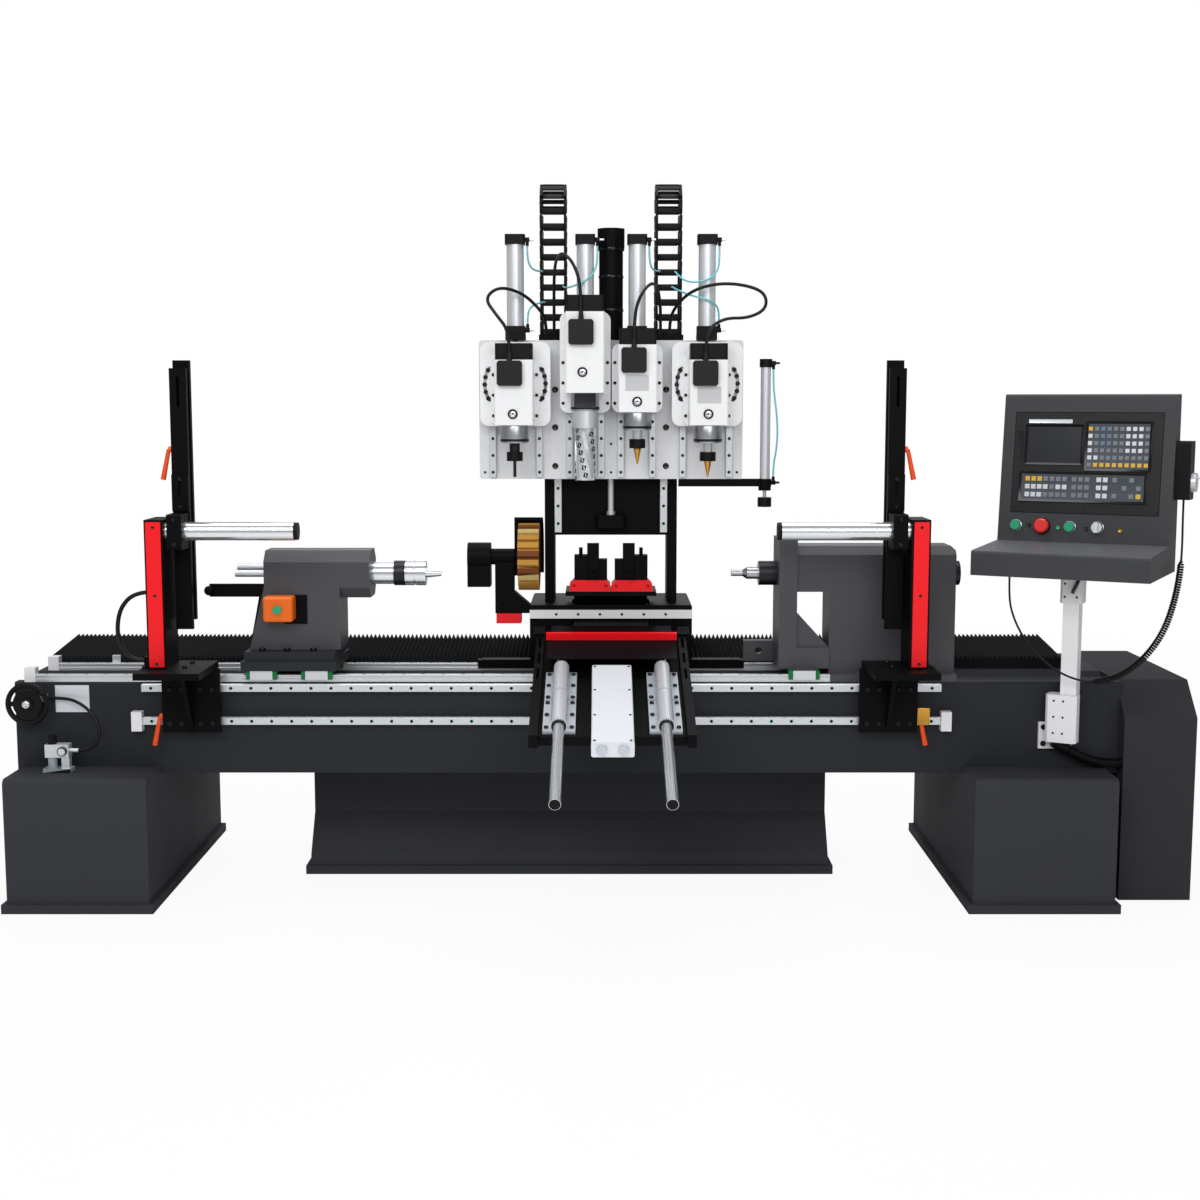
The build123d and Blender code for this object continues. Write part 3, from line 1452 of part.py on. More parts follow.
class Loader:
    # shared places of one loader; side is +1 where its rod points to +X
    def __init__(self, x, side):
        self.side = side
        self.x = x
        self.plate_front = bed_front - block_height - loader_plate_thick
        self.shelf_z = bed_top + loader_shelf_rise
        self.shelf_back = bed_front - loader_shelf_back
        self.shelf_front = self.shelf_back - loader_shelf_depth
        self.post_x = x - side * loader_post_offset
        self.post_front = self.shelf_front + loader_post_front
        self.post_top = self.shelf_z + loader_post_height
        self.rod_y = self.post_front + loader_rod_setback
        self.rod_z = self.post_top - loader_rod_drop
        self.arm_x = self.post_x + side * arm_offset


left_side = Loader(left_loader_x, 1)
right_side = Loader(right_loader_x, -1)


def clamp_lever(x, y, z, side):
    # hub on a side face, and a handle that hangs from it and leans outwards
    hub = rod_x(min(x, x + side * lever_hub), max(x, x + side * lever_hub), y, z, lever_radius * 3 / 2)
    handle = Pos(0, 0, -lever_length / 2) * Cone(lever_tip, lever_radius, lever_length)
    return hub + Pos(x + side * lever_hub, y, z) * Rot(0, -side * lever_lean, 0) * handle


def loader(place):
    half = loader_plate_width / 2
    x = place.x
    plate_back = place.plate_front + loader_plate_thick
    plate = block(x - half, x + half, place.plate_front, plate_back,
                  place.shelf_z - loader_shelf_thick - loader_plate_height,
                  place.shelf_z - loader_shelf_thick)
    shelf_x = x - place.side * (loader_shelf_width - loader_plate_width)
    shelf = block(shelf_x - loader_shelf_width / 2, shelf_x + loader_shelf_width / 2, place.shelf_front,
                  place.shelf_back, place.shelf_z - loader_shelf_thick, place.shelf_z)
    under = place.shelf_z - loader_shelf_thick
    rib = prism_x([(place.plate_front, under), (place.plate_front, under - loader_plate_height),
                   (place.plate_front - loader_rib_reach, under)], x - loader_rib / 2, x + loader_rib / 2)
    bracket = plate + shelf + rib
    riders = [frame_at(x + s * loader_block_spread / 2, bed_front, bed_top - drop, (1, 0, 0), (0, -1, 0))
              * carriage(length=loader_block_spread - cut_over)
              for s in (-1, 1) for drop in (upper_face_rail_drop, upper_face_rail_drop + face_rail_gauge)]
    post_half = loader_post_width / 2
    post = block(place.post_x - post_half, place.post_x + post_half, place.post_front,
                 place.post_front + loader_post_depth, place.shelf_z, place.post_top)
    cover = block(place.post_x - post_half + loader_cover_margin,
                  place.post_x + post_half - loader_cover_margin,
                  place.post_front - loader_cover_thick, place.post_front,
                  place.shelf_z + loader_cover_margin,
                  place.post_top - loader_cover_margin)
    rod_x0 = place.post_x + place.side * post_half
    rod_x1 = rod_x0 + place.side * loader_rod_length
    rod = rod_x(min(rod_x0, rod_x1), max(rod_x0, rod_x1), place.rod_y, place.rod_z, loader_rod_radius)
    tip_x = rod_x1 + place.side * loader_rod_collar * 4
    tip = rod_x(min(rod_x1, tip_x), max(rod_x1, tip_x), place.rod_y, place.rod_z,
                loader_rod_radius - loader_rod_collar / 2)
    lever = clamp_lever(x - place.side * half, place.plate_front + loader_plate_thick / 2,
                        under - loader_plate_height * 3 / 4, -place.side)
    return [bracket] + riders + [post, cover, rod, tip, lever]


def magazine_arm(place):
    # split clamp block on the rod, with two slotted magazine bars behind it held apart by spacers
    x, y, z = place.arm_x, place.rod_y, place.rod_z
    half = clamp_width / 2
    front_y0 = y + clamp_radius + bar_clear
    clamp_top = z + clamp_half_height
    clamp = block(x - half, x + half, y - clamp_radius, front_y0, z - clamp_half_height, clamp_top)
    clamp = chamfer(clamp.edges().filter_by(Axis.X), clamp_edge)
    clamp -= rod_x(x - half - cut_over, x + half + cut_over, y, z, loader_rod_radius + turn_gap)
    clamp -= block(x - half - cut_over, x + half + cut_over, y - clamp_slot / 2, y + clamp_slot / 2, z,
                   clamp_top + cut_over)
    bar_half = bar_width / 2
    front_y1 = front_y0 + bar_thick
    back_y0 = front_y1 + bar_gap
    back_y1 = back_y0 + bar_thick
    top, low = z + bar_front_top, z - bar_front_low
    front = block(x - bar_half, x + bar_half, front_y0, front_y1, low, top)
    slot_top = top - bar_width / 2
    slot = block(x - bar_slot_width / 2, x + bar_slot_width / 2, front_y0 - cut_over, front_y1 + cut_over,
                 slot_top - bar_slot_length, slot_top)
    # slotted stop plate above the clamp
    stop_low = clamp_top + clamp_edge
    stop = block(x - bar_half, x + bar_half, front_y0 - clamp_plate_thick, front_y0, stop_low,
                 stop_low + clamp_plate_height)
    stop_mid = stop_low + clamp_plate_height * 2 / 3
    stop -= block(x - bar_slot_width / 2, x + bar_slot_width / 2, front_y0 - clamp_plate_thick - cut_over,
                  front_y0, stop_mid - bar_half, stop_mid + bar_half)
    back = block(x - bar_half, x + bar_half, back_y0, back_y1, low + bar_back_over, top + bar_back_over)
    spacers = [rod_y(x, front_y1, back_y0, level, clamp_slot * 3)
               for level in (z + bar_front_top / 2, z, z - bar_front_low / 2)]
    lever = clamp_lever(x - place.side * bar_half, (front_y0 + front_y1) / 2, z + bar_front_top / 2,
                        -place.side)
    return [clamp, front - slot, stop, back] + spacers + [lever]


# Console on its stand
stand_x = 1535
stand_standoff = 52
stand_tube = 48
stand_bracket_left = 66
stand_bracket_right = 28
stand_bracket_front = 34
stand_bracket_back = 20
stand_bracket_height = 147
stand_bracket_lift = 30
stand_foot_left = 81
stand_foot_right = 20
stand_foot_height = 83
stand_foot_drop = 206
stand_foot_thick = 12
collar_width = 66
collar_edge = 8
collar_height = 90
stand_height = 343
console_width = 520
console_yaw = -28.5
console_overhang = 205
console_shelf = 290
console_depth = 400
console_lip = 74
console_shelf_rise = 11
console_height = 538
console_lean = 55
console_round = 10
console_inset = 5
panel_margin = 36
panel_low = 88
panel_high = 55
panel_gap = 2
panel_proud = 1
screen_depth = 4
keypad_proud = 3
# left, right, low and high edges of the panel's fields
screen_shares = (0.086, 0.46, 0.495, 0.863)
keypad_shares = (0.487, 0.934, 0.42, 0.916)
lower_keypad_shares = (0.046, 0.914, 0.105, 0.41)
control_row = 48
control_pitch = 83
control_start = 56
knob_radius = 16
estop_radius = 22
estop_stem = 11
estop_height = 26
estop_neck = 12
push_radius = 14
push_proud = 9
push_inside = 12
push_travel = 4
knob_height = 24
stand_y = bed_front - stand_standoff
stand_low = bed_top - stand_foot_drop
console_z = bed_top + stand_height
# local frame of the console: x across, y towards its back, z up, origin on the stand's axis under the case
console_frame = Plane(origin=(stand_x, stand_y, console_z),
                      x_dir=(math.cos(math.radians(console_yaw)), math.sin(math.radians(console_yaw)), 0),
                      z_dir=(0, 0, 1))
panel_foot_y = console_shelf - console_overhang
panel_foot_z = console_lip + console_shelf_rise
panel_angle = math.degrees(math.atan2(console_lean, console_height - panel_foot_z))
# local frame of the tilted panel: x across, y up the panel, z out of it towards the operator
panel_frame = console_frame * Plane(origin=(0, panel_foot_y, panel_foot_z), x_dir=(1, 0, 0),
                                    z_dir=(0, -math.cos(math.radians(panel_angle)),
                                           math.sin(math.radians(panel_angle)))).location


def console_stand():
    # square tube turned to face the operator, in a bracket on the bed's face
    stand_frame = console_frame
    half = stand_tube / 2
    collar_half = collar_width / 2
    drop = console_z - stand_low
    low = stand_bracket_lift - drop
    bracket = block(-stand_bracket_left, stand_bracket_right, -stand_bracket_front, stand_bracket_back, low,
                    low + stand_bracket_height)
    bracket = chamfer(bracket.edges().filter_by(Axis.Z), collar_edge)
    post = block(-half, half, -half, half, low + stand_bracket_height - stand_tube, -slide_gap)
    collar = block(-collar_half, collar_half, -collar_half, collar_half, -collar_height, -slide_gap)
    collar = chamfer(collar.edges().filter_by(Axis.Z), collar_edge)
    foot = block(stand_x - stand_foot_left, stand_x + stand_foot_right, bed_front - stand_foot_thick,
                 bed_front,
                 stand_low, stand_low + stand_foot_height)
    return [stand_frame * (bracket + post + collar) + foot + conduit_gland()]


def console_box():
    front = -console_overhang
    back = front + console_depth
    profile = [(front, 0), (front, console_lip), (panel_foot_y, panel_foot_z),
               (panel_foot_y + console_lean, console_height), (back, console_height), (back, 0)]
    case = prism_x(profile, -console_width / 2, console_width / 2)
    case = fillet(case.edges().filter_by(Axis.X).filter_by(
        lambda e: e.center().Z > console_lip - cut_over and (e.center().Y < front + cut_over
                                                             or e.center().Z > console_height - cut_over)),
        console_round)
    case = console_frame * case
    panel_top = (console_height - panel_foot_z) / math.cos(math.radians(panel_angle))
    half = console_width / 2
    recess = block(-half + panel_margin, half - panel_margin, panel_low, panel_top - panel_high,
                   -console_inset,
                   cut_over)
    case -= panel_frame * recess
    for x in control_places():
        case -= panel_frame * rod_z(x, control_row, -push_inside, cut_over, estop_stem + turn_gap)
    # operator panel in the recess, with a sunk screen and two raised key fields
    left, right = -half + panel_margin + panel_gap, half - panel_margin - panel_gap
    low, high = panel_low + panel_gap, panel_top - panel_high - panel_gap

    def field(shares, z0, z1):
        return block(left + shares[0] * (right - left), left + shares[1] * (right - left),
                     low + shares[2] * (high - low), low + shares[3] * (high - low), z0, z1)

    plate = block(left, right, low, high, -console_inset, panel_proud)
    plate -= field(screen_shares, panel_proud - screen_depth, cut_over)
    plate += field(keypad_shares, 0, keypad_proud) + field(lower_keypad_shares, 0, keypad_proud)
    return [case, panel_frame * plate]


def control_places():
    return [-console_width / 2 + control_start + i * control_pitch for i in range(4)]


def push_button(place):
    x = control_places()[place]
    stem = estop_stem
    return [panel_frame * turned_z([(-push_inside + push_travel + slide_gap, stem),
                                    (push_travel + slide_gap, stem),
                                    (push_travel + slide_gap, push_radius),
                                    (push_travel + push_proud, push_radius)], x, control_row)]


def estop_button():
    x = control_places()[1]
    return [panel_frame * turned_z([(-push_inside + push_travel + slide_gap, estop_stem), (estop_neck,
                                                                                           estop_stem),
                                    (estop_neck, estop_radius), (estop_height - push_travel, estop_radius),
                                    (estop_height, estop_radius - push_travel)], x, control_row)]


def selector_knob():
    x = control_places()[3]
    body = turned_z([(-push_inside + slide_gap, estop_stem), (slide_gap, estop_stem), (slide_gap,
                                                                                       knob_radius),
                     (knob_height / 2, knob_radius)], x, control_row)
    grip = block(x - knob_radius / 3, x + knob_radius / 3, control_row - knob_radius,
                 control_row + knob_radius,
                 knob_height / 2, knob_height)
    return [panel_frame * (body + grip)]


# Hand pendant hung on the console's right side, and its wheel
pendant_width = 74
pendant_height = 176
pendant_thick = 44
pendant_low = 222
pendant_round = 8
pendant_wheel_radius = 29
pendant_wheel_thick = 14
pendant_wheel_rise = 52
pendant_stem = 6
pendant_stem_depth = 14
pendant_knob_radius = 5
pendant_knob_length = 18
pendant_setback = 24
pendant_y = panel_foot_y + console_lean + pendant_setback


def pendant():
    x0 = console_width / 2
    case = block(x0, x0 + pendant_thick, pendant_y - pendant_width / 2, pendant_y + pendant_width / 2,
                 pendant_low,
                 pendant_low + pendant_height)
    case = fillet(case.edges().filter_by(Axis.X), pendant_round)
    hole = rod_x(x0 + pendant_thick - pendant_stem_depth, x0 + pendant_thick + cut_over, pendant_y,
                 pendant_low + pendant_wheel_rise, pendant_stem + turn_gap)
    return [console_frame * (case - hole)]


def pendant_wheel():
    face = console_width / 2 + pendant_thick
    z = pendant_low + pendant_wheel_rise
    wheel = turned_x([(face - pendant_stem_depth + slide_gap, pendant_stem), (face + slide_gap, pendant_stem),
                      (face + slide_gap, pendant_wheel_radius), (face + pendant_wheel_thick,
                                                                 pendant_wheel_radius)],
                     pendant_y, z)
    crank = rod_x(face + pendant_wheel_thick, face + pendant_wheel_thick + pendant_knob_length,
                  pendant_y + pendant_wheel_radius / 2, z + pendant_wheel_radius / 2, pendant_knob_radius)
    return [console_frame * (wheel + crank)]


# Handwheel at the left end of the bed face
wheel_x_inset = 53
wheel_drop = 60
wheel_radius = 67
wheel_rim = 8
wheel_hub = 20
wheel_disc = 44
wheel_disc_thick = 8
wheel_spoke = 14
wheel_standoff = 38
wheel_thick = 18
wheel_boss = 26
wheel_pin = 10
handle_radius = 6
handle_length = 20
handle_angle = 55


def bed_boss():
    # bearing boss of the handwheel on the bed face
    x, z = bed_left + wheel_x_inset, bed_top - wheel_drop
    boss = rod_y(x, bed_front - wheel_standoff + slide_gap, bed_front, z, wheel_boss)
    return boss - rod_y(x, bed_front - wheel_standoff - cut_over, bed_front - cut_over, z,
                        wheel_pin + turn_gap)


def handwheel():
    x, z = bed_left + wheel_x_inset, bed_top - wheel_drop
    back = bed_front - wheel_standoff
    front = back - wheel_thick
    rim = Pos(x, (front + back) / 2, z) * Rot(90, 0, 0) * Torus(wheel_radius - wheel_rim, wheel_rim)
    hub = rod_y(x, front, back, z, wheel_hub)
    shaft = rod_y(x, back, bed_front - cut_over - slide_gap, z, wheel_pin)
    wheel = rim + hub + shaft
    middle = (front + back) / 2
    reach = wheel_radius - wheel_rim
    for k in range(3):
        spoke = block(-wheel_spoke / 2, wheel_spoke / 2, -wheel_rim / 2, wheel_rim / 2, 0, reach)
        wheel += Pos(x, middle, z) * Rot(0, 120 * k + 30, 0) * spoke
    wheel += rod_y(x, middle - wheel_disc_thick / 2, middle + wheel_disc_thick / 2, z, wheel_disc)
    turn = math.radians(handle_angle)
    handle = rod_y(x + reach * math.sin(turn), middle - handle_length, middle, z + reach * math.cos(turn),
                   handle_radius)
    return [wheel + handle]


# Air service unit on the left pedestal's shelf
air_inset = 150
air_setback = 70
air_base_width = 84
air_base_depth = 46
air_base_height = 12
regulator_width = 36
regulator_height = 74
regulator_bowl = 14
regulator_bowl_drop = 34
gauge_radius = 14
gauge_depth = 10
air_stem_radius = 6
air_stem_length = 26


def air_service_unit():
    shelf = bed_bottom + pedestal_rise
    x, y = bed_left + air_inset, bed_front - air_setback
    foot = block(x - air_base_width / 2, x + air_base_width / 2, y - air_base_depth / 2,
                 y + air_base_depth / 2,
                 shelf, shelf + air_base_height)
    z0 = shelf + air_base_height
    bowl = rod_z(x - regulator_width / 2, y, z0, z0 + regulator_bowl_drop, regulator_bowl)
    body = block(x - regulator_width, x + regulator_width, y - regulator_width / 2, y + regulator_width / 2,
                 z0 + regulator_bowl_drop, z0 + regulator_height)
    column = block(x + regulator_width / 3, x + regulator_width, y - regulator_width / 3,
                   y + regulator_width / 3,
                   z0, z0 + regulator_bowl_drop)
    knob = turned_z([(z0 + regulator_height, regulator_bowl), (z0 + regulator_height + air_stem_length,
                                                               regulator_bowl)],
                    x - regulator_width / 2, y)
    gauge = rod_y(x + regulator_width / 2, y - regulator_width / 2 - gauge_depth, y - regulator_width / 2,
                  z0 + (regulator_bowl_drop + regulator_height) / 2, gauge_radius)
    stem = rod_x(x + regulator_width, x + regulator_width + air_stem_length, y,
                 z0 + (regulator_bowl_drop + regulator_height) / 2, air_stem_radius)
    return [foot + bowl + body + column + knob + gauge + stem]


def air_outlet():
    shelf = bed_bottom + pedestal_rise
    x, y = bed_left + air_inset, bed_front - air_setback
    return (x + regulator_width + air_stem_length, y,
            shelf + air_base_height + (regulator_bowl_drop + regulator_height) / 2)


# Hoses and cables: straight runs joined by tangent arcs, through points chosen by hand
bend_share = 0.45
bed_hose_radius = 5
bed_hose_route = [(0, 0, 0), (50, 0, 0), (69, 8, 60), (33, 22, 118), (-14, 39, 146), (-63, 55, 152),
                  (-111, 55, 152)]
hose_fitting = 22
loader_hose_radius = 6.5
loader_hose_rise = 222
loader_hose_setback = 70
loader_hose_route = [(0, 0, 0), (-48, 0, 0), (-94, -4, -42), (-108, -6, -110), (-97, -6, -166),
                     (-66, -6, -205), (-26, -6, -205)]
cord_radius = 3.5
coil_radius = 11
pendant_cord_route = [(282, 164, 222), (282, 164, 160), (286, 150, 80), (288, 120, 0), (280, 85, -85),
                      (262, 45, -165), (225, 0, -235), (170, -35, -290), (105, -55, -318), (40, -68, -318),
                      (-25, -85, -290), (-80, -110, -240), (-122, -138, -175), (-146, -162, -105),
                      (-149, -178, -50), (-149, -178, 0)]
coil_start_run = 2
coil_end_run = 8
conduit_radius = 14
conduit_setback = 36
conduit_rise = 4
conduit_gland_radius = 18
conduit_gland_length = 46
conduit_route = [(0, 0, 0), (36, 0, -21), (78, 0, -37), (124, 0, -45), (170, 0, -45)]
air_tube_radius = 3
air_tube_routes = [
    [(-262, 0, 290.5), (-262, 0, 261), (-258, 9, 236), (-247, 27, 221), (-231, 51, 217), (-217, 82, 219),
     (-217, 114.25, 219)],
    [(-43, 0, 290.5), (-43, 0, 255), (-47, -12, 223), (-60, -31, 198), (-80, -42, 181), (-104, -37, 170),
     (-124, -14, 164), (-139, 14, 163), (-149, 46, 167), (-153, 80, 171), (-153, 114.25, 171)],
    [(119, 0, 290.5), (119, 0, 261), (122, 9, 236), (130, 27, 221), (143, 51, 217), (157, 82, 219),
     (157, 114.25, 219)],
    [(338, 0, 290.5), (338, 0, 258), (336, -10, 229), (327, -26, 206), (311, -39, 190), (287, -43, 180),
     (263, -33, 177), (242, -12, 180), (225, 15, 189), (212, 46, 203), (203, 80, 219), (203, 114.25, 219)],
    [(338, 0, 49.5), (338, 0, 76), (334, -12, 99), (321, -29, 113), (301, -41, 122), (278, -40, 129),
     (257, -26, 135), (240, -3, 142), (222, 25, 151), (205, 54, 161), (193, 84, 171), (193, 114.25, 171)],
    [(-262, 0, 49.5), (-262, 0, 75), (-257, 10, 97), (-245, 28, 110), (-229, 52, 118), (-209, 82, 123),
     (-209, 114.25, 123)],
    [(514, 27.25, -90), (514, 27.25, -140), (520, 25, -190), (527, 24, -245), (529, 24, -300),
     (525, 25, -350), (517, 27.25, -391), (517, 27.25, -429)],
]
cable_radius = 5
cable_routes = [
    [(-312, -59, -41), (-312, -59, 22), (-352, -54, 72), (-388, -40, 122), (-345, -10, 160), (-275, 36, 142),
     (-228, 82, 100), (-205, 140, 66), (-205, 140, 18)],
    [(-93, -59, 84), (-93, -59, 160), (-114, -52, 224), (-146, -12, 262), (-170, 56, 254), (-179, 122, 208),
     (-181, 160, 140), (-181, 172, 75), (-181, 172, 18)],
    [(69, -59, -1), (69, -59, 72), (90, -46, 136), (124, 6, 174), (145, 76, 162), (155, 128, 116),
     (157, 156, 66), (157, 156, 18)],
    [(288, -59, -41), (288, -59, 22), (342, -48, 62), (420, -30, 62), (478, -14, 92), (472, 2, 144), (400,
                                                                                                      13,
                                                                                                      168),
     (320, 23, 170), (250, 42, 150), (205, 82, 110), (185, 140, 68), (185, 140, 18)],
]


def cord(points, radius, name):
    # sweep of a round section; each corner's arc is as wide as its shorter neighbour allows
    knots = [Vector(*p) for p in points]
    radii = []
    for before, at, after in zip(knots, knots[1:], knots[2:]):
        turn = math.radians((at - before).get_angle(after - at))
        shorter = min((at - before).length, (after - at).length)
        radii.append(bend_share * shorter / math.tan(turn / 2))
    path = FilletPolyline(*knots, radius=radii)
    print(name, "length", round(path.length), "tightest bend", round(min(radii)))
    section = Plane(origin=path @ 0, z_dir=path % 0) * Circle(radius)
    return sweep(section, path)


def bed_hose():
    x, y, z = air_outlet()
    return [cord([(x + a, y + b, z + c) for a, b, c in bed_hose_route], bed_hose_radius, "bed hose")]


def bed_hose_fitting():
    # elbow on the bed face that takes the far end of the hose
    x, y, z = (place + offset for place, offset in zip(air_outlet(), bed_hose_route[-1]))
    half = hose_fitting / 2
    return block(x - hose_fitting, x, min(y - half, bed_front - half), bed_front, z - half, z + half)


def left_loader_hose():
    place = left_side
    x = place.post_x - loader_post_width / 2
    y = place.post_front + loader_hose_setback
    z = place.shelf_z + loader_hose_rise
    return [cord([(x + a, y + b, z + c) for a, b, c in loader_hose_route], loader_hose_radius, "loader hose")]


def loader_hose_fitting():
    # elbow beside the post's foot that takes the lower end of the hose
    place = left_side
    a, b, c = loader_hose_route[-1]
    x = place.post_x - loader_post_width / 2
    y = place.post_front + loader_hose_setback + b
    half = hose_fitting / 2
    top = place.shelf_z + loader_hose_rise + c + half
    return block(x + a, x, y - half, y + half, place.shelf_z, top)


def pendant_cord():
    # thin, coiled and thin lengths, which meet in the middle of a straight run
    def middle(run):
        return tuple((a + b) / 2 for a, b in zip(pendant_cord_route[run], pendant_cord_route[run + 1]))

    first, last = middle(coil_start_run), middle(coil_end_run)
    lengths = [(pendant_cord_route[:coil_start_run + 1] + [first], cord_radius, "pendant cord, upper"),
               ([first] + pendant_cord_route[coil_start_run + 1:coil_end_run + 1] + [last], coil_radius,
                "pendant cord, coiled"),
               ([last] + pendant_cord_route[coil_end_run + 1:], cord_radius, "pendant cord, lower")]
    return [console_frame * cord(points, radius, name) for points, radius, name in lengths]


def conduit_places():
    x, y, z = stand_x, bed_front - conduit_setback, stand_low + conduit_rise
    return [(x + a, y + b, z + c) for a, b, c in conduit_route]


def conduit_gland():
    # slanting socket under the stand's bracket, in line with the conduit's first run
    start, following = (Vector(*place) for place in conduit_places()[:2])
    along = (start - following).normalized()
    return (Plane(origin=start, z_dir=along) * rod_z(0, 0, 0, conduit_gland_length, conduit_gland_radius))


def stand_conduit():
    return [cord(conduit_places(), conduit_radius, "stand conduit")]


def head_cables():
    # routes are given from the middle of the head's top edge, over the spindles' axes or the cylinders' axes
    cables = [cord([(saddle_x + a, spindle_y + b, head_top + c) for a, b, c in route], cable_radius,
                   f"spindle cable {i + 1}") for i, route in enumerate(cable_routes)]
    tubes = [cord([(saddle_x + a, cylinder_y + b, head_top + c) for a, b, c in route], air_tube_radius,
                  f"air tube {i + 1}") for i, route in enumerate(air_tube_routes)]
    return cables + tubes


# Nodes, one file each
nodes = {
    "bed_frame": lambda: [bed_frame()[0] + bed_boss()],
    "pedestals": pedestals,
    "centre_plinth": centre_plinth,
    "electrical_cabinet": electrical_cabinet,
    "bed_guideways": bed_guideways,
    "rear_guideways": rear_guideways,
    "way_bellows": way_bellows,
    "headstock": headstock,
    "main_spindle": main_spindle,
    "tailstock_body": tailstock_body,
    "tailstock_blocks": tailstock_blocks,
    "quill": quill,
    "live_centre": live_centre,
    "button_box": button_box,
    "box_button": box_button,
    "saddle_base": saddle_base,
    "inclined_deck": inclined_deck,
    "gantry_frame": gantry_frame,
    "saddle_guides": saddle_guides,
    "servo_motors": servo_motors,
    "bearing_housings": bearing_housings,
    "guide_rods": guide_rods,
    "tool_table": tool_table,
    "tool_posts": tool_posts,
    "sander_arm": sander_arm,
    "sanding_wheel": sanding_wheel,
    "head_plate": head_plate,
    "spindle_rails": spindle_rails,
    "air_cylinders": air_cylinders,
    "drag_chains": drag_chains,
    "positioner": positioner,
    "positioner_rod": positioner_rod,
    "left_loader": lambda: loader(left_side) + [loader_hose_fitting()],
    "left_arm": lambda: magazine_arm(left_side),
    "right_loader": lambda: loader(right_side),
    "right_arm": lambda: magazine_arm(right_side),
    "console_stand": console_stand,
    "console_box": console_box,
    "start_button": lambda: push_button(0),
    "estop_button": estop_button,
    "hold_button": lambda: push_button(2),
    "selector_knob": selector_knob,
    "pendant": pendant,
    "pendant_wheel": pendant_wheel,
    "handwheel": handwheel,
    "air_service_unit": lambda: air_service_unit() + [bed_hose_fitting()],
    "bed_hose": bed_hose,
    "left_loader_hose": left_loader_hose,
    "pendant_cord": pendant_cord,
    "head_cables": head_cables,
    "stand_conduit": stand_conduit,
}
for i in range(len(spindle_offsets)):
    nodes[f"spindle_{i + 1}"] = lambda i=i: spindle_unit(i)
    nodes[f"spindle_{i + 1}_rotor"] = lambda i=i: spindle_rotor(i)

os.makedirs("parts", exist_ok=True)
for name, make in nodes.items():
    solids = [s for shape in make() for s in shape.solids()]
    export_step(Compound(children=solids), f"parts/{name}.step")
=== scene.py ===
import math
import bpy
from mathutils import Matrix, Vector


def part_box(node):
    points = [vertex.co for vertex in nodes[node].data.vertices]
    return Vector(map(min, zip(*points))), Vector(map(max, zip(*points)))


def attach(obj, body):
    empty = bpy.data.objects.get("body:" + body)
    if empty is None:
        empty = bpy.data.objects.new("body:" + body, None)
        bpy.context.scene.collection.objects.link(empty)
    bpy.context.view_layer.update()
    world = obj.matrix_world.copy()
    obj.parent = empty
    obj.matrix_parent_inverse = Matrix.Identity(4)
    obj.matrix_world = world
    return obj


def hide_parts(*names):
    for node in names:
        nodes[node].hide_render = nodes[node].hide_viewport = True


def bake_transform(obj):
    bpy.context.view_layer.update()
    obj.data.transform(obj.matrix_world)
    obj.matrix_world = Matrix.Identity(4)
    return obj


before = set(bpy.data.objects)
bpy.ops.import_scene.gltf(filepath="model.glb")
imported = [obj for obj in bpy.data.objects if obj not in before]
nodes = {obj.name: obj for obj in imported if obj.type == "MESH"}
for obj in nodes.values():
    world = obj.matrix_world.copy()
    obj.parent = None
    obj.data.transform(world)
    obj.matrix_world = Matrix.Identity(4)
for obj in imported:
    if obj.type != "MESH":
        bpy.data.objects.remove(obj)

scene = bpy.context.scene
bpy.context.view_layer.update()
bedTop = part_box("bed_frame")[1].z
print("frame loaded:", len(nodes), "nodes")


def tone(r, g, b):  # colour as picked from a photo, 0 to 255
    def lin(c):
        c /= 255
        return c / 12.92 if c <= 0.04045 else ((c + 0.055) / 1.055) ** 2.4
    return (lin(r), lin(g), lin(b), 1)


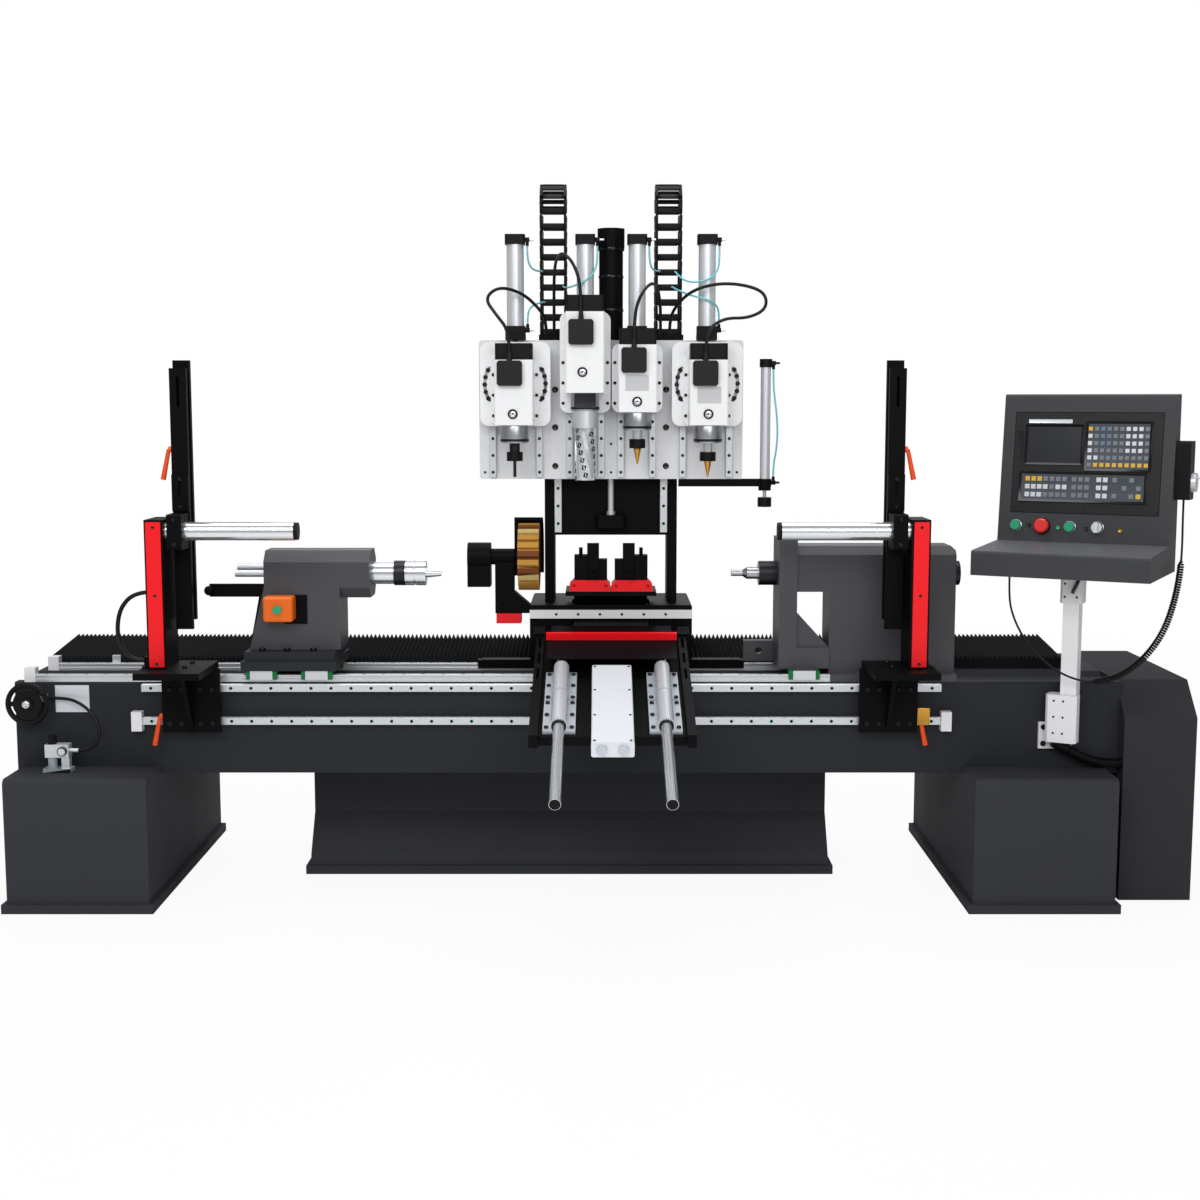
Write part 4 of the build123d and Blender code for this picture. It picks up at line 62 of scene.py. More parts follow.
whiteCoat = dict(gloss=0.4, bumpScale=300, wear=0.03)
keyCap = dict(rough=0.5, bump=0.1)
sandFlap = dict(gloss=0.15, bump=0.5, bumpScale=1400)
finishPalette = {
    "bedPaint": dict(rgb=(42, 44, 48), rough=0.5, gloss=0.10, bump=0.05, bumpScale=420, wear=0.06),
    "greyPaint": dict(rgb=(58, 59, 63), rough=0.6, gloss=0.04, bump=0.06, bumpScale=380, wear=0.06),
    "cabinetPaint": dict(rgb=(54, 54, 58), rough=0.6, gloss=0.05, bump=0.06, bumpScale=380, wear=0.05),
    "castingPaint": dict(rgb=(74, 74, 78), rough=0.42, gloss=0.2, bump=0.05, bumpScale=300, wear=0.06),
    "blackPaint": dict(rgb=(10, 10, 12), rough=0.45, gloss=0.06, bump=0.03, bumpScale=500, wear=0.05),
    "blackPlastic": dict(rgb=(12, 12, 14), rough=0.5, gloss=0.16, bump=0.03, bumpScale=700),
    "boxPlastic": dict(rgb=(26, 26, 29), rough=0.45, gloss=0.2, bump=0.08),
    "blackGloss": dict(rgb=(6, 6, 8), rough=0.2, gloss=0.35),
    "darkMetal": dict(rgb=(46, 46, 50), rough=0.4, metal=0.9, wear=0.1),
    "consolePaint": dict(rgb=(60, 61, 64), rough=0.5, gloss=0.2, bump=0.22),
    # lighter copy of the console paint for the lip: painted light, the top shelf lit by the lamps
    "consoleLipLit": dict(rgb=(88, 89, 93), rough=0.5, gloss=0.25, bump=0.15),
    "panelPaint": dict(rgb=(32, 32, 34), rough=0.42, gloss=0.2, bump=0.05, bumpScale=800),
    "whitePaint": dict(whiteCoat, rgb=(232, 232, 235), rough=0.32, bump=0.02),
    "headWhite": dict(whiteCoat, rgb=(222, 223, 225), rough=0.36, bump=0.02),
    "spindleWhite": dict(whiteCoat, rgb=(240, 241, 242), rough=0.3, bump=0.01),
    "driveWhite": dict(rgb=(224, 227, 232), rough=0.34, metal=0.15, wear=0.05),
    "redPaint": dict(rgb=(242, 20, 30), rough=0.34, gloss=0.3, wear=0.04),
    "orange": dict(rgb=(230, 104, 18), rough=0.36, gloss=0.35),
    "leverOrange": dict(rgb=(234, 76, 14), rough=0.38, gloss=0.35),
    "greenSeal": dict(rgb=(12, 112, 56), rough=0.5, gloss=0.2),
    "greenPlug": dict(rgb=(0, 128, 84), rough=0.4, gloss=0.3),
    "greenCap": dict(rgb=(0, 160, 112), rough=0.25, coat=0.4),
    "redCap": dict(rgb=(228, 28, 28), rough=0.3, coat=0.3),
    "steel": dict(rgb=(214, 216, 220), rough=0.34, metal=0.65, brush=(3, 160, 160), wear=0.05),
    "turned": dict(rgb=(170, 172, 176), rough=0.3, metal=1, brush=(4, 4, 160), wear=0.08),
    "polished": dict(rgb=(222, 225, 229), rough=0.18, metal=0.85, wear=0.04),
    "aluminium": dict(rgb=(216, 219, 223), rough=0.36, metal=0.55, brush=(160, 160, 4), wear=0.06),
    "flangeAlu": dict(rgb=(196, 202, 210), rough=0.36, metal=0.5, wear=0.08),
    "housingAlu": dict(rgb=(216, 220, 226), rough=0.34, metal=0.55, wear=0.05),
    "brass": dict(rgb=(203, 150, 62), rough=0.3, metal=1),
    "pleatCloth": dict(rgb=(14, 16, 19), rough=0.72, gloss=0.15, bump=0.2, bumpScale=1500),
    "hoseBlack": dict(rgb=(11, 11, 13), rough=0.42, gloss=0.25),
    "conduitBlack": dict(rgb=(10, 10, 12), rough=0.45, gloss=0.25, ridges=62),
    "airTube": dict(rgb=(112, 196, 206), rough=0.2, coat=0.4),
    "screen": dict(rgb=(30, 33, 38), rough=0.14, gloss=0.4, coat=0.3),
    "keyPale": dict(keyCap, rgb=(206, 208, 212)),
    "keyGrey": dict(keyCap, rgb=(112, 117, 124)),
    "keyBlue": dict(keyCap, rgb=(96, 112, 136)),
    "keyAmber": dict(keyCap, rgb=(214, 168, 52)),
    "keyField": dict(rgb=(70, 76, 84), rough=0.45, gloss=0.25, bump=0.05, bumpScale=700),
    "windowPane": dict(rgb=(196, 197, 199), rough=0.35, bump=0.9, bumpScale=420),
    "flapGold": dict(sandFlap, rgb=(196, 146, 66), rough=0.75),
    "flapBrown": dict(sandFlap, rgb=(122, 72, 40), rough=0.8),
    "flapCream": dict(sandFlap, rgb=(216, 188, 122), rough=0.8),
    "platePale": dict(rgb=(212, 216, 222), rough=0.3, metal=0.2, wear=0.04),
    "bowlClear": dict(rgb=(150, 160, 166), rough=0.12, coat=0.5),
}


# what all finishes share: dull patches, and how deep the grain, brush lines and hose ridges go
detail = dict(cloudScale=7, cloudDetail=5, leastRough=0.05, evenSpread=0.03, grainDetail=2, grainDepth=0.001,
              brushScale=6, brushBump=0.04, ridgeBump=1, ridgeDepth=0.003)


def addNode(tree, kind, values=None):
    node = tree.nodes.new("ShaderNode" + kind)
    for socket, value in (values or {}).items():
        node.inputs[socket].default_value = value
    return node


def makeFinish(name, rgb, rough, metal=0.0, gloss=0.5, bump=0.0, bumpScale=900, wear=0.0, brush=None,
               coat=0.0, ridges=0):
    material = bpy.data.materials.new(name)
    material.use_nodes = True
    tree = material.node_tree
    link = tree.links.new
    shader = tree.nodes["Principled BSDF"]
    for socket, value in (("Base Color", tone(*rgb)), ("Roughness", rough), ("Metallic", metal),
                          ("Specular IOR Level", gloss), ("Coat Weight", coat)):
        shader.inputs[socket].default_value = value
    source = addNode(tree, "TexCoord").outputs["Object"]
    # faint patches where the finish is duller
    cloud = addNode(tree, "TexNoise", {"Scale": detail["cloudScale"], "Detail": detail["cloudDetail"]})
    link(source, cloud.inputs["Vector"])
    uneven = wear or detail["evenSpread"]
    patches = addNode(tree, "MapRange", {"To Min": max(detail["leastRough"], rough - uneven),
                                         "To Max": rough + uneven})
    link(cloud.outputs["Fac"], patches.inputs["Value"])
    link(patches.outputs["Result"], shader.inputs["Roughness"])
    if not (bump or brush or ridges):
        return material
    strength, depth = bump or detail["brushBump"], detail["grainDepth"]
    if ridges:  # rings of a corrugated hose that runs along x
        grain = addNode(tree, "TexWave", {"Scale": ridges})
        strength, depth = detail["ridgeBump"], detail["ridgeDepth"]
    else:
        scale = detail["brushScale"] if brush else bumpScale
        grain = addNode(tree, "TexNoise", {"Scale": scale, "Detail": detail["grainDetail"]})
    if brush:  # fine lines drawn out along one direction
        stretch = addNode(tree, "Mapping", {"Scale": brush})
        link(source, stretch.inputs["Vector"])
        source = stretch.outputs["Vector"]
    link(source, grain.inputs["Vector"])
    lift = addNode(tree, "Bump", {"Strength": strength, "Distance": depth})
    link(grain.outputs["Fac"], lift.inputs["Height"])
    link(lift.outputs["Normal"], shader.inputs["Normal"])
    return material


looks = {name: makeFinish(name, **values) for name, values in finishPalette.items()}
print("finishes:", len(looks))


def at(x, y, z):
    return Matrix.Translation((x, y, z))


def leaning(origin, degrees):  # local frame whose y climbs and z leans back by that angle about x
    return at(*origin) @ Matrix.Rotation(math.radians(degrees), 4, "X")


# places that several pieces share, as the solids have them
saddleX = 0.135
headTop = 1.725
deckSlope = 16
consoleTurn = -28.5
panelLean = 6.92
sealReach = (0.034, 0.05)
deckAt = leaning((saddleX, -0.066, 0.817), deckSlope)
consoleAt = at(1.535, -0.346, 1.018) @ Matrix.Rotation(math.radians(consoleTurn), 4, "Z")
panelAt = consoleAt @ leaning((0, 0.085, 0.085), 90 - panelLean)
units = dict(x=(-0.165, 0.054, 0.216, 0.435), gauge=(0.0735, 0.05, 0.05, 0.0735),
             bodyLow=(1.461, 1.560, 1.501, 1.461), bodyTop=(1.661, 1.807, 1.707, 1.661),
             boxTop=(1.658, 1.783, 1.698, 1.658), front=(-0.128, -0.116, -0.116, -0.128))
sander = dict(y=-0.002, z=1.036, hub=0.07, flapTurn=15, cycle=6)
loaders = dict(sides=(("left", 1, -1.214), ("right", -1, 1.046)), rod=(0.0285, 0.4075, 0.43), arm=0.062,
               plate=0.064, lever=(0.0255, 0.09), armLever=(0.0252, 0.09))


# painting of the CAD nodes: the first test that a face passes gives its finish
def paintNode(node, look, rules=()):
    mesh = nodes[node].data
    mesh.materials.clear()
    for name in [look] + [rule[0] for rule in rules]:
        mesh.materials.append(looks[name])
    for face in mesh.polygons:
        face.material_index = 0
        for i, (name, test) in enumerate(rules, 1):
            if test(face.center):
                face.material_index = i
                break


def within(x=None, y=None, z=None, frameAt=None):  # spans for a face's middle, in the room or a local frame
    spans = [span and sorted(span) for span in (x, y, z)]
    inverse = frameAt.inverted() if frameAt else None

    def test(c):
        c = inverse @ c if inverse else c
        return all(span is None or span[0] <= v <= span[1] for span, v in zip(spans, c))
    return test


def nearEnds(middles, reach, low, high):  # the end seals of carriages along x
    def test(c):
        return low <= c[2] <= high and any(reach[0] < abs(c[0] - m) <= reach[1] for m in middles)
    return test


def flapTest(picks):  # flaps of the sanding wheel, counted round its axis
    def test(c):
        y, z = c[1] - sander["y"], c[2] - sander["z"]
        flap = int(math.degrees(math.atan2(z, y)) % 360 / sander["flapTurn"])
        return math.hypot(y, z) > sander["hub"] and flap % sander["cycle"] in picks
    return test


plainPaints = {
    "greyPaint": "pedestals centre_plinth",
    "bedPaint": "bed_frame",
    "cabinetPaint": "electrical_cabinet",
    "steel": "rear_guideways spindle_rails spindle_2_rotor",
    "greenCap": "box_button start_button hold_button",
    "blackPaint": "inclined_deck gantry_frame tool_table",
    "polished": "guide_rods",
    "redCap": "estop_button",
    "blackPlastic": "pendant handwheel",
}
paints = {node: (look, []) for look, names in plainPaints.items() for node in names.split()}
paints |= {
    "bed_guideways": ("steel", [
        ("whitePaint", within(x=(-1.72, -1.6405))),
        ("whitePaint", within(x=(-1.48, -1.45), y=(-0.0425, -0.03))),
        ("whitePaint", within(x=(-1.36, -1.3085), z=(0.52, 0.6))),
        ("whitePaint", within(x=(1.1485, 1.2), z=(0.52, 0.6)))]),
    "headstock": ("castingPaint", [
        ("greenSeal", nearEnds((0.729,), sealReach, 0.68, 0.7109)),
        ("steel", within(x=(0.67, 0.79), z=(0.68, 0.7109)))]),
    "main_spindle": ("darkMetal", [("turned", within(x=(0.5, 0.6)))]),
    "tailstock_body": ("castingPaint", [
        ("steel", within(x=(-1.06, -0.9391), z=(0.985, 1.06))),
        ("blackPaint", within(x=(-1.2, -0.9391), z=(0.8, 1.2))),
        ("bedPaint", within(z=(0.7, 0.7695)))]),
    "tailstock_blocks": ("steel", [("greenSeal", nearEnds((-0.9425, -0.7725), sealReach, 0.5, 0.9))]),
    "quill": ("polished", [("darkMetal", within(x=(-0.5441, -0.5)))]),
    "live_centre": ("polished", [("darkMetal", within(x=(-0.478, -0.472)))]),
    "button_box": ("orange", [("blackPaint", within(y=(-0.2516, -0.24)))]),
    "saddle_base": ("blackPaint", [("whitePaint", within(y=(-0.1, -0.0661), z=(0.84, 0.875)))]),
    "saddle_guides": ("steel", [
        ("blackPaint", within(x=(0.08, 0.19), z=(1.12, 1.172))),
        ("blackPaint", within(y=(-0.08, -0.03), z=(0.67, 0.712))),
        ("greenSeal", nearEnds([saddleX + d for d in (-0.18, 0.18, -0.15, 0.15)], sealReach, 0.5, 0.711))]),
    "servo_motors": ("blackPaint", [
        ("flangeAlu", within(x=(-1, 1), y=(-0.96, -0.8841), frameAt=deckAt)),
        ("driveWhite", within(y=(-1.2, -0.3)))]),
    "bearing_housings": ("housingAlu", [
        ("blackPlastic", within(y=(-0.8, -0.7542), frameAt=deckAt)),
        ("flangeAlu", within(z=(-0.1, 0.0143), frameAt=deckAt))]),
    "tool_posts": ("blackPaint", [
        ("redPaint", within(z=(0.93, 0.9672))),
        ("redPaint", within(y=(-0.32, -0.29), z=(0.80, 0.835)))]),
    "sander_arm": ("blackPaint", [("redPaint", within(z=(0.7, 0.8545)))]),
    "sanding_wheel": ("flapBrown", [("flapGold", flapTest((0, 3, 4))), ("flapCream", flapTest((2,)))]),
    "head_plate": ("headWhite", [
        ("blackPaint", within(z=(headTop + 0.0005, 1.8))),
        ("steel", within(y=(-0.0315, 0.1)))]),
    "air_cylinders": ("aluminium", [
        ("polished", lambda c: any(x + 0.0451 < c[0] < x + 0.07 for x in units["x"])),
        ("blackPlastic", lambda c: any(x + 0.0311 < c[0] < x + 0.0451 for x in units["x"])),
        ("blackPlastic", within(z=(2.0185, 2.1))),
        ("blackPlastic", within(z=(1.7, 1.7685)))]),
    "positioner": ("aluminium", [
        ("blackPaint", within(x=(0.2, 0.6045))),
        ("blackPlastic", within(z=(1.64, 1.7))),
        ("blackPaint", within(z=(1.2, 1.2895))),
        ("blackPlastic", within(x=(0.6412, 0.7)))]),
    "positioner_rod": ("polished", [("blackPlastic", within(z=(1.1, 1.2301)))]),
    "console_stand": ("whitePaint", [("blackPlastic", within(y=(-0.38, -0.3125), z=(0.4, 0.4985)))]),
    "console_box": ("consolePaint", [
        ("screen", within(x=(-0.184, -0.0176), y=(0.2429, 0.3571), z=(-0.0035, -0.0025), frameAt=panelAt)),
        ("keyField", within(x=(-0.21, 0.2), y=(0.12, 0.38), z=(0.0012, 0.0035), frameAt=panelAt)),
        ("panelPaint", within(x=(-0.2225, 0.2225), y=(0.0895, 0.4), z=(-0.006, 0.0012), frameAt=panelAt)),
        # the lip's shelf in the lighter copy of the console paint: painted light where the top faces the
        # lamps
        ("consoleLipLit", within(y=(-0.2, 0.0845), z=(0.0735, 0.0865), frameAt=consoleAt))]),
    "selector_knob": ("blackPlastic", [("platePale", within(z=(0.0118, 0.0245), frameAt=panelAt))]),
    "pendant_wheel": ("aluminium", [("greenCap", within(x=(0.3041, 0.3085), frameAt=consoleAt))]),
    "air_service_unit": ("aluminium", [
        ("bowlClear", within(x=(-1.59, -1.556), z=(0.4, 0.4558))),
        ("blackPlastic", within(z=(0.4962, 0.6), x=(-1.6, -1.55))),
        ("darkMetal", within(y=(-0.42, -0.3821)))]),
    "spindle_1_rotor": ("darkMetal", [("blackPlastic", within(z=(1.35, 1.3785)))]),
    "spindle_3_rotor": ("polished", [
        ("blackPlastic", within(z=(1.387, 1.4205))),
        ("brass", within(z=(1.2, 1.387)))]),
    "spindle_4_rotor": ("polished", [
        ("blackPlastic", within(z=(1.35, 1.3785))),
        ("brass", within(z=(1.2, 1.35)))]),
}
for i, x in enumerate(units["x"]):
    edge = units["front"][i] - 0.0005
    paints[f"spindle_{i + 1}"] = ("spindleWhite", [
        ("boxPlastic", within(y=(-0.26, -0.2165))),
        ("blackPlastic", within(y=(-0.22, edge), z=(units["bodyTop"][i] + 0.0005, 2))),
        ("polished", within(y=(-0.22, edge), z=(1, units["bodyLow"][i] - 0.0005))),
        ("darkMetal", within(y=(-0.0995, 0)))])
for name, side, postX in loaders["sides"]:
    rodFrom, rodTo, tipTo = (postX + side * reach for reach in loaders["rod"])
    lever = [postX - side * reach for reach in loaders["lever"]]
    armLever = [postX + side * loaders["arm"] - side * reach for reach in loaders["armLever"]]
    paints[f"{name}_loader"] = ("blackPaint", [
        ("redPaint", within(y=(-0.49, -0.4761), z=(0.746, 1.2))),
        ("polished", within(x=(rodFrom, rodTo), z=(1.12, 1.186), y=(-0.465, -0.405))),
        ("blackPlastic", within(x=(rodTo, tipTo), z=(1.1, 1.2))),
        ("steel", within(y=(-0.3299, -0.29), z=(0.5, 0.7))),
        ("leverOrange", within(x=lever, z=(0.47, 0.72), y=(-0.36, -0.32)))])
    paints[f"{name}_arm"] = ("blackPaint", [("leverOrange", within(x=armLever, z=(1.28, 1.42)))])
for node, (look, rules) in paints.items():
    paintNode(node, look, rules)
print("CAD nodes painted:", len(paints))


# modelling helpers
facesAlong = 0.9  # cosine above which a face looks in a direction


def setMode(mode):
    bpy.ops.object.mode_set(mode=mode)


def deselectAll():
    if bpy.context.object and bpy.context.object.mode != "OBJECT":
        setMode("OBJECT")
    bpy.ops.object.select_all(action="DESELECT")


def addObject(name, data):
    obj = bpy.data.objects.new(name, data)
    scene.collection.objects.link(obj)
    return obj


def activate(obj):
    deselectAll()
    obj.select_set(True)
    bpy.context.view_layer.objects.active = obj


def addBlock(name, low, high, edge):
    deselectAll()
    size = [b - a for a, b in zip(low, high)]
    middle = [(a + b) / 2 for a, b in zip(low, high)]
    bpy.ops.mesh.primitive_cube_add(size=1, location=middle, scale=size)
    obj = bpy.context.object
    obj.name = name
    bpy.ops.object.transform_apply()
    setMode("EDIT")
    bpy.ops.mesh.select_all(action="SELECT")
    bpy.ops.mesh.bevel(offset=edge, segments=2, affect="EDGES")
    setMode("OBJECT")
    return obj


def pick(obj, kind, test):  # leaves the piece in edit mode with the wanted faces or edges selected
    activate(obj)
    setMode("EDIT")
    bpy.ops.mesh.select_mode(type=kind)
    bpy.ops.mesh.select_all(action="DESELECT")
    setMode("OBJECT")
    for item in obj.data.polygons if kind == "FACE" else obj.data.edges:
        item.select = bool(test(item))
    setMode("EDIT")


def thicken(obj, wall, offset):  # the piece is the active one
    shell = obj.modifiers.new("wall", "SOLIDIFY")
    shell.thickness = wall
    shell.offset = offset
    bpy.ops.object.modifier_apply(modifier=shell.name)


def sinkFaces(obj, test, rim, depth):  # inset the faces by rim and push them in by depth
    pick(obj, "FACE", test)
    bpy.ops.mesh.inset(thickness=rim, depth=-depth)
    setMode("OBJECT")


def topCap(face):
    return face.normal.z > facesAlong and len(face.vertices) > 4


def addPlate(name, low, high, edge, direction, rim, depth):  # block with a recess on that side
    plate = addBlock(name, low, high, edge)
    looking = [f for f in plate.data.polygons if f.normal.dot(Vector(direction)) > facesAlong]
    largest = max(looking, key=lambda f: f.area).index
    sinkFaces(plate, lambda f: f.index == largest, rim, depth)
    return plate


def addDisc(name, radius, low, high, edge, sides=20):  # round piece on the z axis with broken edges
    deselectAll()
    bpy.ops.mesh.primitive_cylinder_add(vertices=sides, radius=radius, depth=high - low,
                                        location=(0, 0, (low + high) / 2))
    obj = bpy.context.object
    obj.name = name
    bpy.ops.object.transform_apply()
    pick(obj, "FACE", lambda f: len(f.vertices) > 4)
    bpy.ops.mesh.bevel(offset=edge, segments=2, affect="EDGES")
    setMode("OBJECT")
    return obj


# disc whose foot goes a little into what carries it, and whose top is sunk by each rim and depth
def addDish(name, radius, high, edge, sides, sinks, low=-0.001):
    dish = addDisc(name, radius, low, high, edge, sides)
    for rim, depth in sinks:
        sinkFaces(dish, topCap, rim, depth)
    return dish


def addSleeve(name, radius, low, high, edge, wall, sides=56):  # open tube on the z axis
    sleeve = addDisc(name, radius, low, high, edge, sides)
    pick(sleeve, "FACE", lambda f: len(f.vertices) > 4)
    bpy.ops.mesh.delete(type="FACE")
    setMode("OBJECT")
    thicken(sleeve, wall, -1)
    return sleeve


def addScrew(radius, height):  # socket head screw standing on z = 0
    socket = (radius * 0.42, height * 0.6)
    return addDish("screw", radius, height, edge=radius * 0.14, sides=12, sinks=[socket])


def scatter(master, name, matrices):  # copies of one model, each with its own mesh, joined as one piece
    copies = []
    for matrix in matrices:
        twin = master.copy()
        twin.data = master.data.copy()
        twin.data.transform(matrix)
        scene.collection.objects.link(twin)
        copies.append(twin)
    bpy.data.objects.remove(master)
    return joinAll(name, copies)


def joinAll(name, pieces):
    deselectAll()
    for piece in pieces:
        piece.select_set(True)
    bpy.context.view_layer.objects.active = pieces[0]
    if len(pieces) > 1:
        bpy.ops.object.join()
    pieces[0].name = name
    return pieces[0]


def dress(obj, look, body, slot, angle=35):  # body None: the piece is left attached to no body
    activate(obj)
    bpy.ops.object.shade_smooth_by_angle(angle=math.radians(angle))
    obj.data.materials.clear()
    obj.data.materials.append(looks[look])
    if body:
        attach(obj, body)
    return obj


def colourFaces(obj, look, test):
    obj.data.materials.append(looks[look])
    index = len(obj.data.materials) - 1
    for face in obj.data.polygons:
        if test(face):
            face.material_index = index


def facing(x, y, z, normal):  # local +Z turned to the normal, at that place
    return at(x, y, z) @ Vector((0, 0, 1)).rotation_difference(Vector(normal)).to_matrix().to_4x4()


def spread(first, last, pitch):  # even places from first to last, about a pitch apart
    count = int((last - first) / pitch + 0.5)
    return [first + (last - first) * k / count for k in range(count + 1)]


# hoses and cables: control points listed, as the CAD routes them
def routeCurve(name, points, steps=8, radius=0, rings=3):
    curve = bpy.data.curves.new(name, "CURVE")
    curve.dimensions = "3D"
    curve.resolution_u = steps
    if radius:
        curve.bevel_depth = radius
        curve.bevel_resolution = rings
        curve.use_fill_caps = True
    spline = curve.splines.new("NURBS")
    spline.points.add(len(points) - 1)
    for point, place in zip(spline.points, points):
        point.co = (*place, 1)
    spline.order_u = 3
    spline.use_endpoint_u = True
    return addObject(name, curve)


def routeLine(points, steps=10):  # points along the route's spline, read from its own bare curve
    probe = routeCurve("probe", points, steps)
    mesh = bpy.data.meshes.new_from_object(probe)
    line = [v.co.copy() for v in mesh.vertices]
    bpy.data.objects.remove(probe)
    return line


def lineLength(line):
    return sum((b - a).length for a, b in zip(line, line[1:]))


def layCord(name, points, radius, look, body, length=None, steps=8, rings=3):
    cord = routeCurve(name, points, steps, radius, rings)
    cord.data.materials.append(looks[look])
    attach(cord, body)
    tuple(points[0])
    length or lineLength(routeLine(points))
    return cord


def routeFrom(origin, offsets, scale=0.001):  # offsets in millimetres
    return [tuple(a + b * scale for a, b in zip(origin, offset)) for offset in offsets]


hoses = [
    dict(name="bedHose", node="bed_hose", body="base", radius=0.005, look="hoseBlack",
         start=(-1.493, -0.364, 0.476),
         route=[(0, 0, 0), (50, 0, 0), (69, 8, 60), (33, 22, 118), (-14, 39, 146), (-63, 55, 152),
                (-111, 55, 152)]),
    dict(name="loaderHose", node="left_loader_hose", body="left_loader", radius=0.0065, look="hoseBlack",
         start=(-1.242, -0.406, 0.967),
         route=[(0, 0, 0), (-48, 0, 0), (-94, -4, -42), (-108, -6, -110), (-97, -6, -166), (-66, -6, -205),
                (-26, -6, -205)]),
    dict(name="standConduit", node="stand_conduit", body="base", radius=0.014, look="conduitBlack",
         start=(1.535, -0.330, 0.473),
         route=[(0, 0, 0), (36, 0, -21), (78, 0, -37), (124, 0, -45), (170, 0, -45)]),
]
for hose in hoses:
    points = routeFrom(hose["start"], hose["route"])
    piece = layCord(hose["name"], points, hose["radius"], hose["look"], hose["body"])
    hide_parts(hose["node"])

airTubes = dict(radius=0.003, start=(saddleX, -0.07125, headTop), routes=[
    [(-262, 0, 290.5), (-262, 0, 261), (-258, 9, 236), (-247, 27, 221), (-231, 51, 217), (-217, 82, 219),
     (-217, 114.25, 219)],
    [(-43, 0, 290.5), (-43, 0, 255), (-47, -12, 223), (-60, -31, 198), (-80, -42, 181), (-104, -37, 170),
     (-124, -14, 164), (-139, 14, 163), (-149, 46, 167), (-153, 80, 171), (-153, 114.25, 171)],
    [(119, 0, 290.5), (119, 0, 261), (122, 9, 236), (130, 27, 221), (143, 51, 217), (157, 82, 219),
     (157, 114.25, 219)],
    [(338, 0, 290.5), (338, 0, 258), (336, -10, 229), (327, -26, 206), (311, -39, 190), (287, -43, 180),
     (263, -33, 177), (242, -12, 180), (225, 15, 189), (212, 46, 203), (203, 80, 219), (203, 114.25, 219)],
    [(338, 0, 49.5), (338, 0, 76), (334, -12, 99), (321, -29, 113), (301, -41, 122), (278, -40, 129),
     (257, -26, 135), (240, -3, 142), (222, 25, 151), (205, 54, 161), (193, 84, 171), (193, 114.25, 171)],
    [(-262, 0, 49.5), (-262, 0, 75), (-257, 10, 97), (-245, 28, 110), (-229, 52, 118), (-209, 82, 123),
     (-209, 114.25, 123)],
    [(514, 27.25, -90), (514, 27.25, -140), (520, 25, -190), (527, 24, -245), (529, 24, -300),
     (525, 25, -350), (517, 27.25, -391), (517, 27.25, -429)]])
for i, route in enumerate(airTubes["routes"]):
    layCord(f"airTube{i + 1}", routeFrom(airTubes["start"], route), airTubes["radius"], "airTube", "head")

headCables = dict(radius=0.005, start=(saddleX, -0.166, headTop), routes=[
    [(-312, -59, -41), (-312, -59, 22), (-352, -54, 72), (-388, -40, 122), (-345, -10, 160), (-275, 36, 142),
     (-228, 82, 100), (-205, 140, 66), (-205, 140, 18)],
    [(-93, -59, 84), (-93, -59, 160), (-114, -52, 224), (-146, -12, 262), (-170, 56, 254), (-179, 122, 208),
     (-181, 160, 140), (-181, 172, 75), (-181, 172, 18)],
    [(69, -59, -1), (69, -59, 72), (90, -46, 136), (124, 6, 174), (145, 76, 162), (155, 128, 116),
     (157, 156, 66), (157, 156, 18)],
    [(288, -59, -41), (288, -59, 22), (342, -48, 62), (420, -30, 62), (478, -14, 92), (472, 2, 144),
     (400, 13, 168), (320, 23, 170), (250, 42, 150), (205, 82, 110), (185, 140, 68), (185, 140, 18)]])
for i, route in enumerate(headCables["routes"]):
    points = routeFrom(headCables["start"], route)
    cable = routeCurve(f"spindleCable{i + 1}", points, radius=headCables["radius"])
    activate(cable)
    bpy.ops.object.convert(target="MESH")
    cable = bpy.context.object
    dress(cable, "hoseBlack", None, "hose_rubber")
    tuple(points[-1])
    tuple(points[0])
    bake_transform(cable)
    if i == 0:
        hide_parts("head_cables")
    line = routeLine(points)
    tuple(points[0])
    lineLength(line)
    [tuple(p) for p in line]

pendantCord = dict(radius=0.0032, coilRadius=0.0078, coilPitch=0.0078, turnSteps=10, taperTurns=2,
                   coilRuns=(2, 8), lineSteps=24, thinning=6, lengthSteps=4,
                   route=[(282, 164, 222), (282, 164, 160), (286, 150, 80), (288, 120, 0), (280, 85, -85),
                          (262, 45, -165), (225, 0, -235), (170, -35, -290), (105, -55, -318),
                          (40, -68, -318), (-25, -85, -290), (-80, -110, -240), (-122, -138, -175),
                          (-146, -162, -105), (-149, -178, -50), (-149, -178, 0)])


def coiledLine(settings):  # the route with its middle wound into a helix
    route = [Vector(p) for p in routeFrom((0, 0, 0), settings["route"])]
    line = routeLine(route, settings["lineSteps"])

    def nearest(run):
        middle = (route[run] + route[run + 1]) / 2
        return min(range(len(line)), key=lambda k: (line[k] - middle).length)

    first, last = (nearest(run) for run in settings["coilRuns"])
    coil = line[first:last + 1]
    lengths = [0]
    for a, b in zip(coil, coil[1:]):
        lengths.append(lengths[-1] + (b - a).length)
    turn, skip = settings["turnSteps"], settings["thinning"]
    taper = settings["taperTurns"] * turn
    count = int(lengths[-1] / settings["coilPitch"]) * turn
    points = line[0:first:skip]
    side = Vector((0, -1, 0))
    j = 0
    for k in range(count + 1):
        reach = lengths[-1] * k / count
        while j < len(lengths) - 2 and lengths[j + 1] < reach:
            j += 1
        part = (reach - lengths[j]) / (lengths[j + 1] - lengths[j])
        along = (coil[j + 1] - coil[j]).normalized()
        side = (side - along * side.dot(along)).normalized()
        radius = settings["coilRadius"] * min(1, k / taper, (count - k) / taper)
        angle = 2 * math.pi * k / turn
        points.append(coil[j].lerp(coil[j + 1], part) + side * radius * math.cos(angle)
                      + along.cross(side) * radius * math.sin(angle))
    return points + line[last + skip:-1:skip] + [line[-1]]


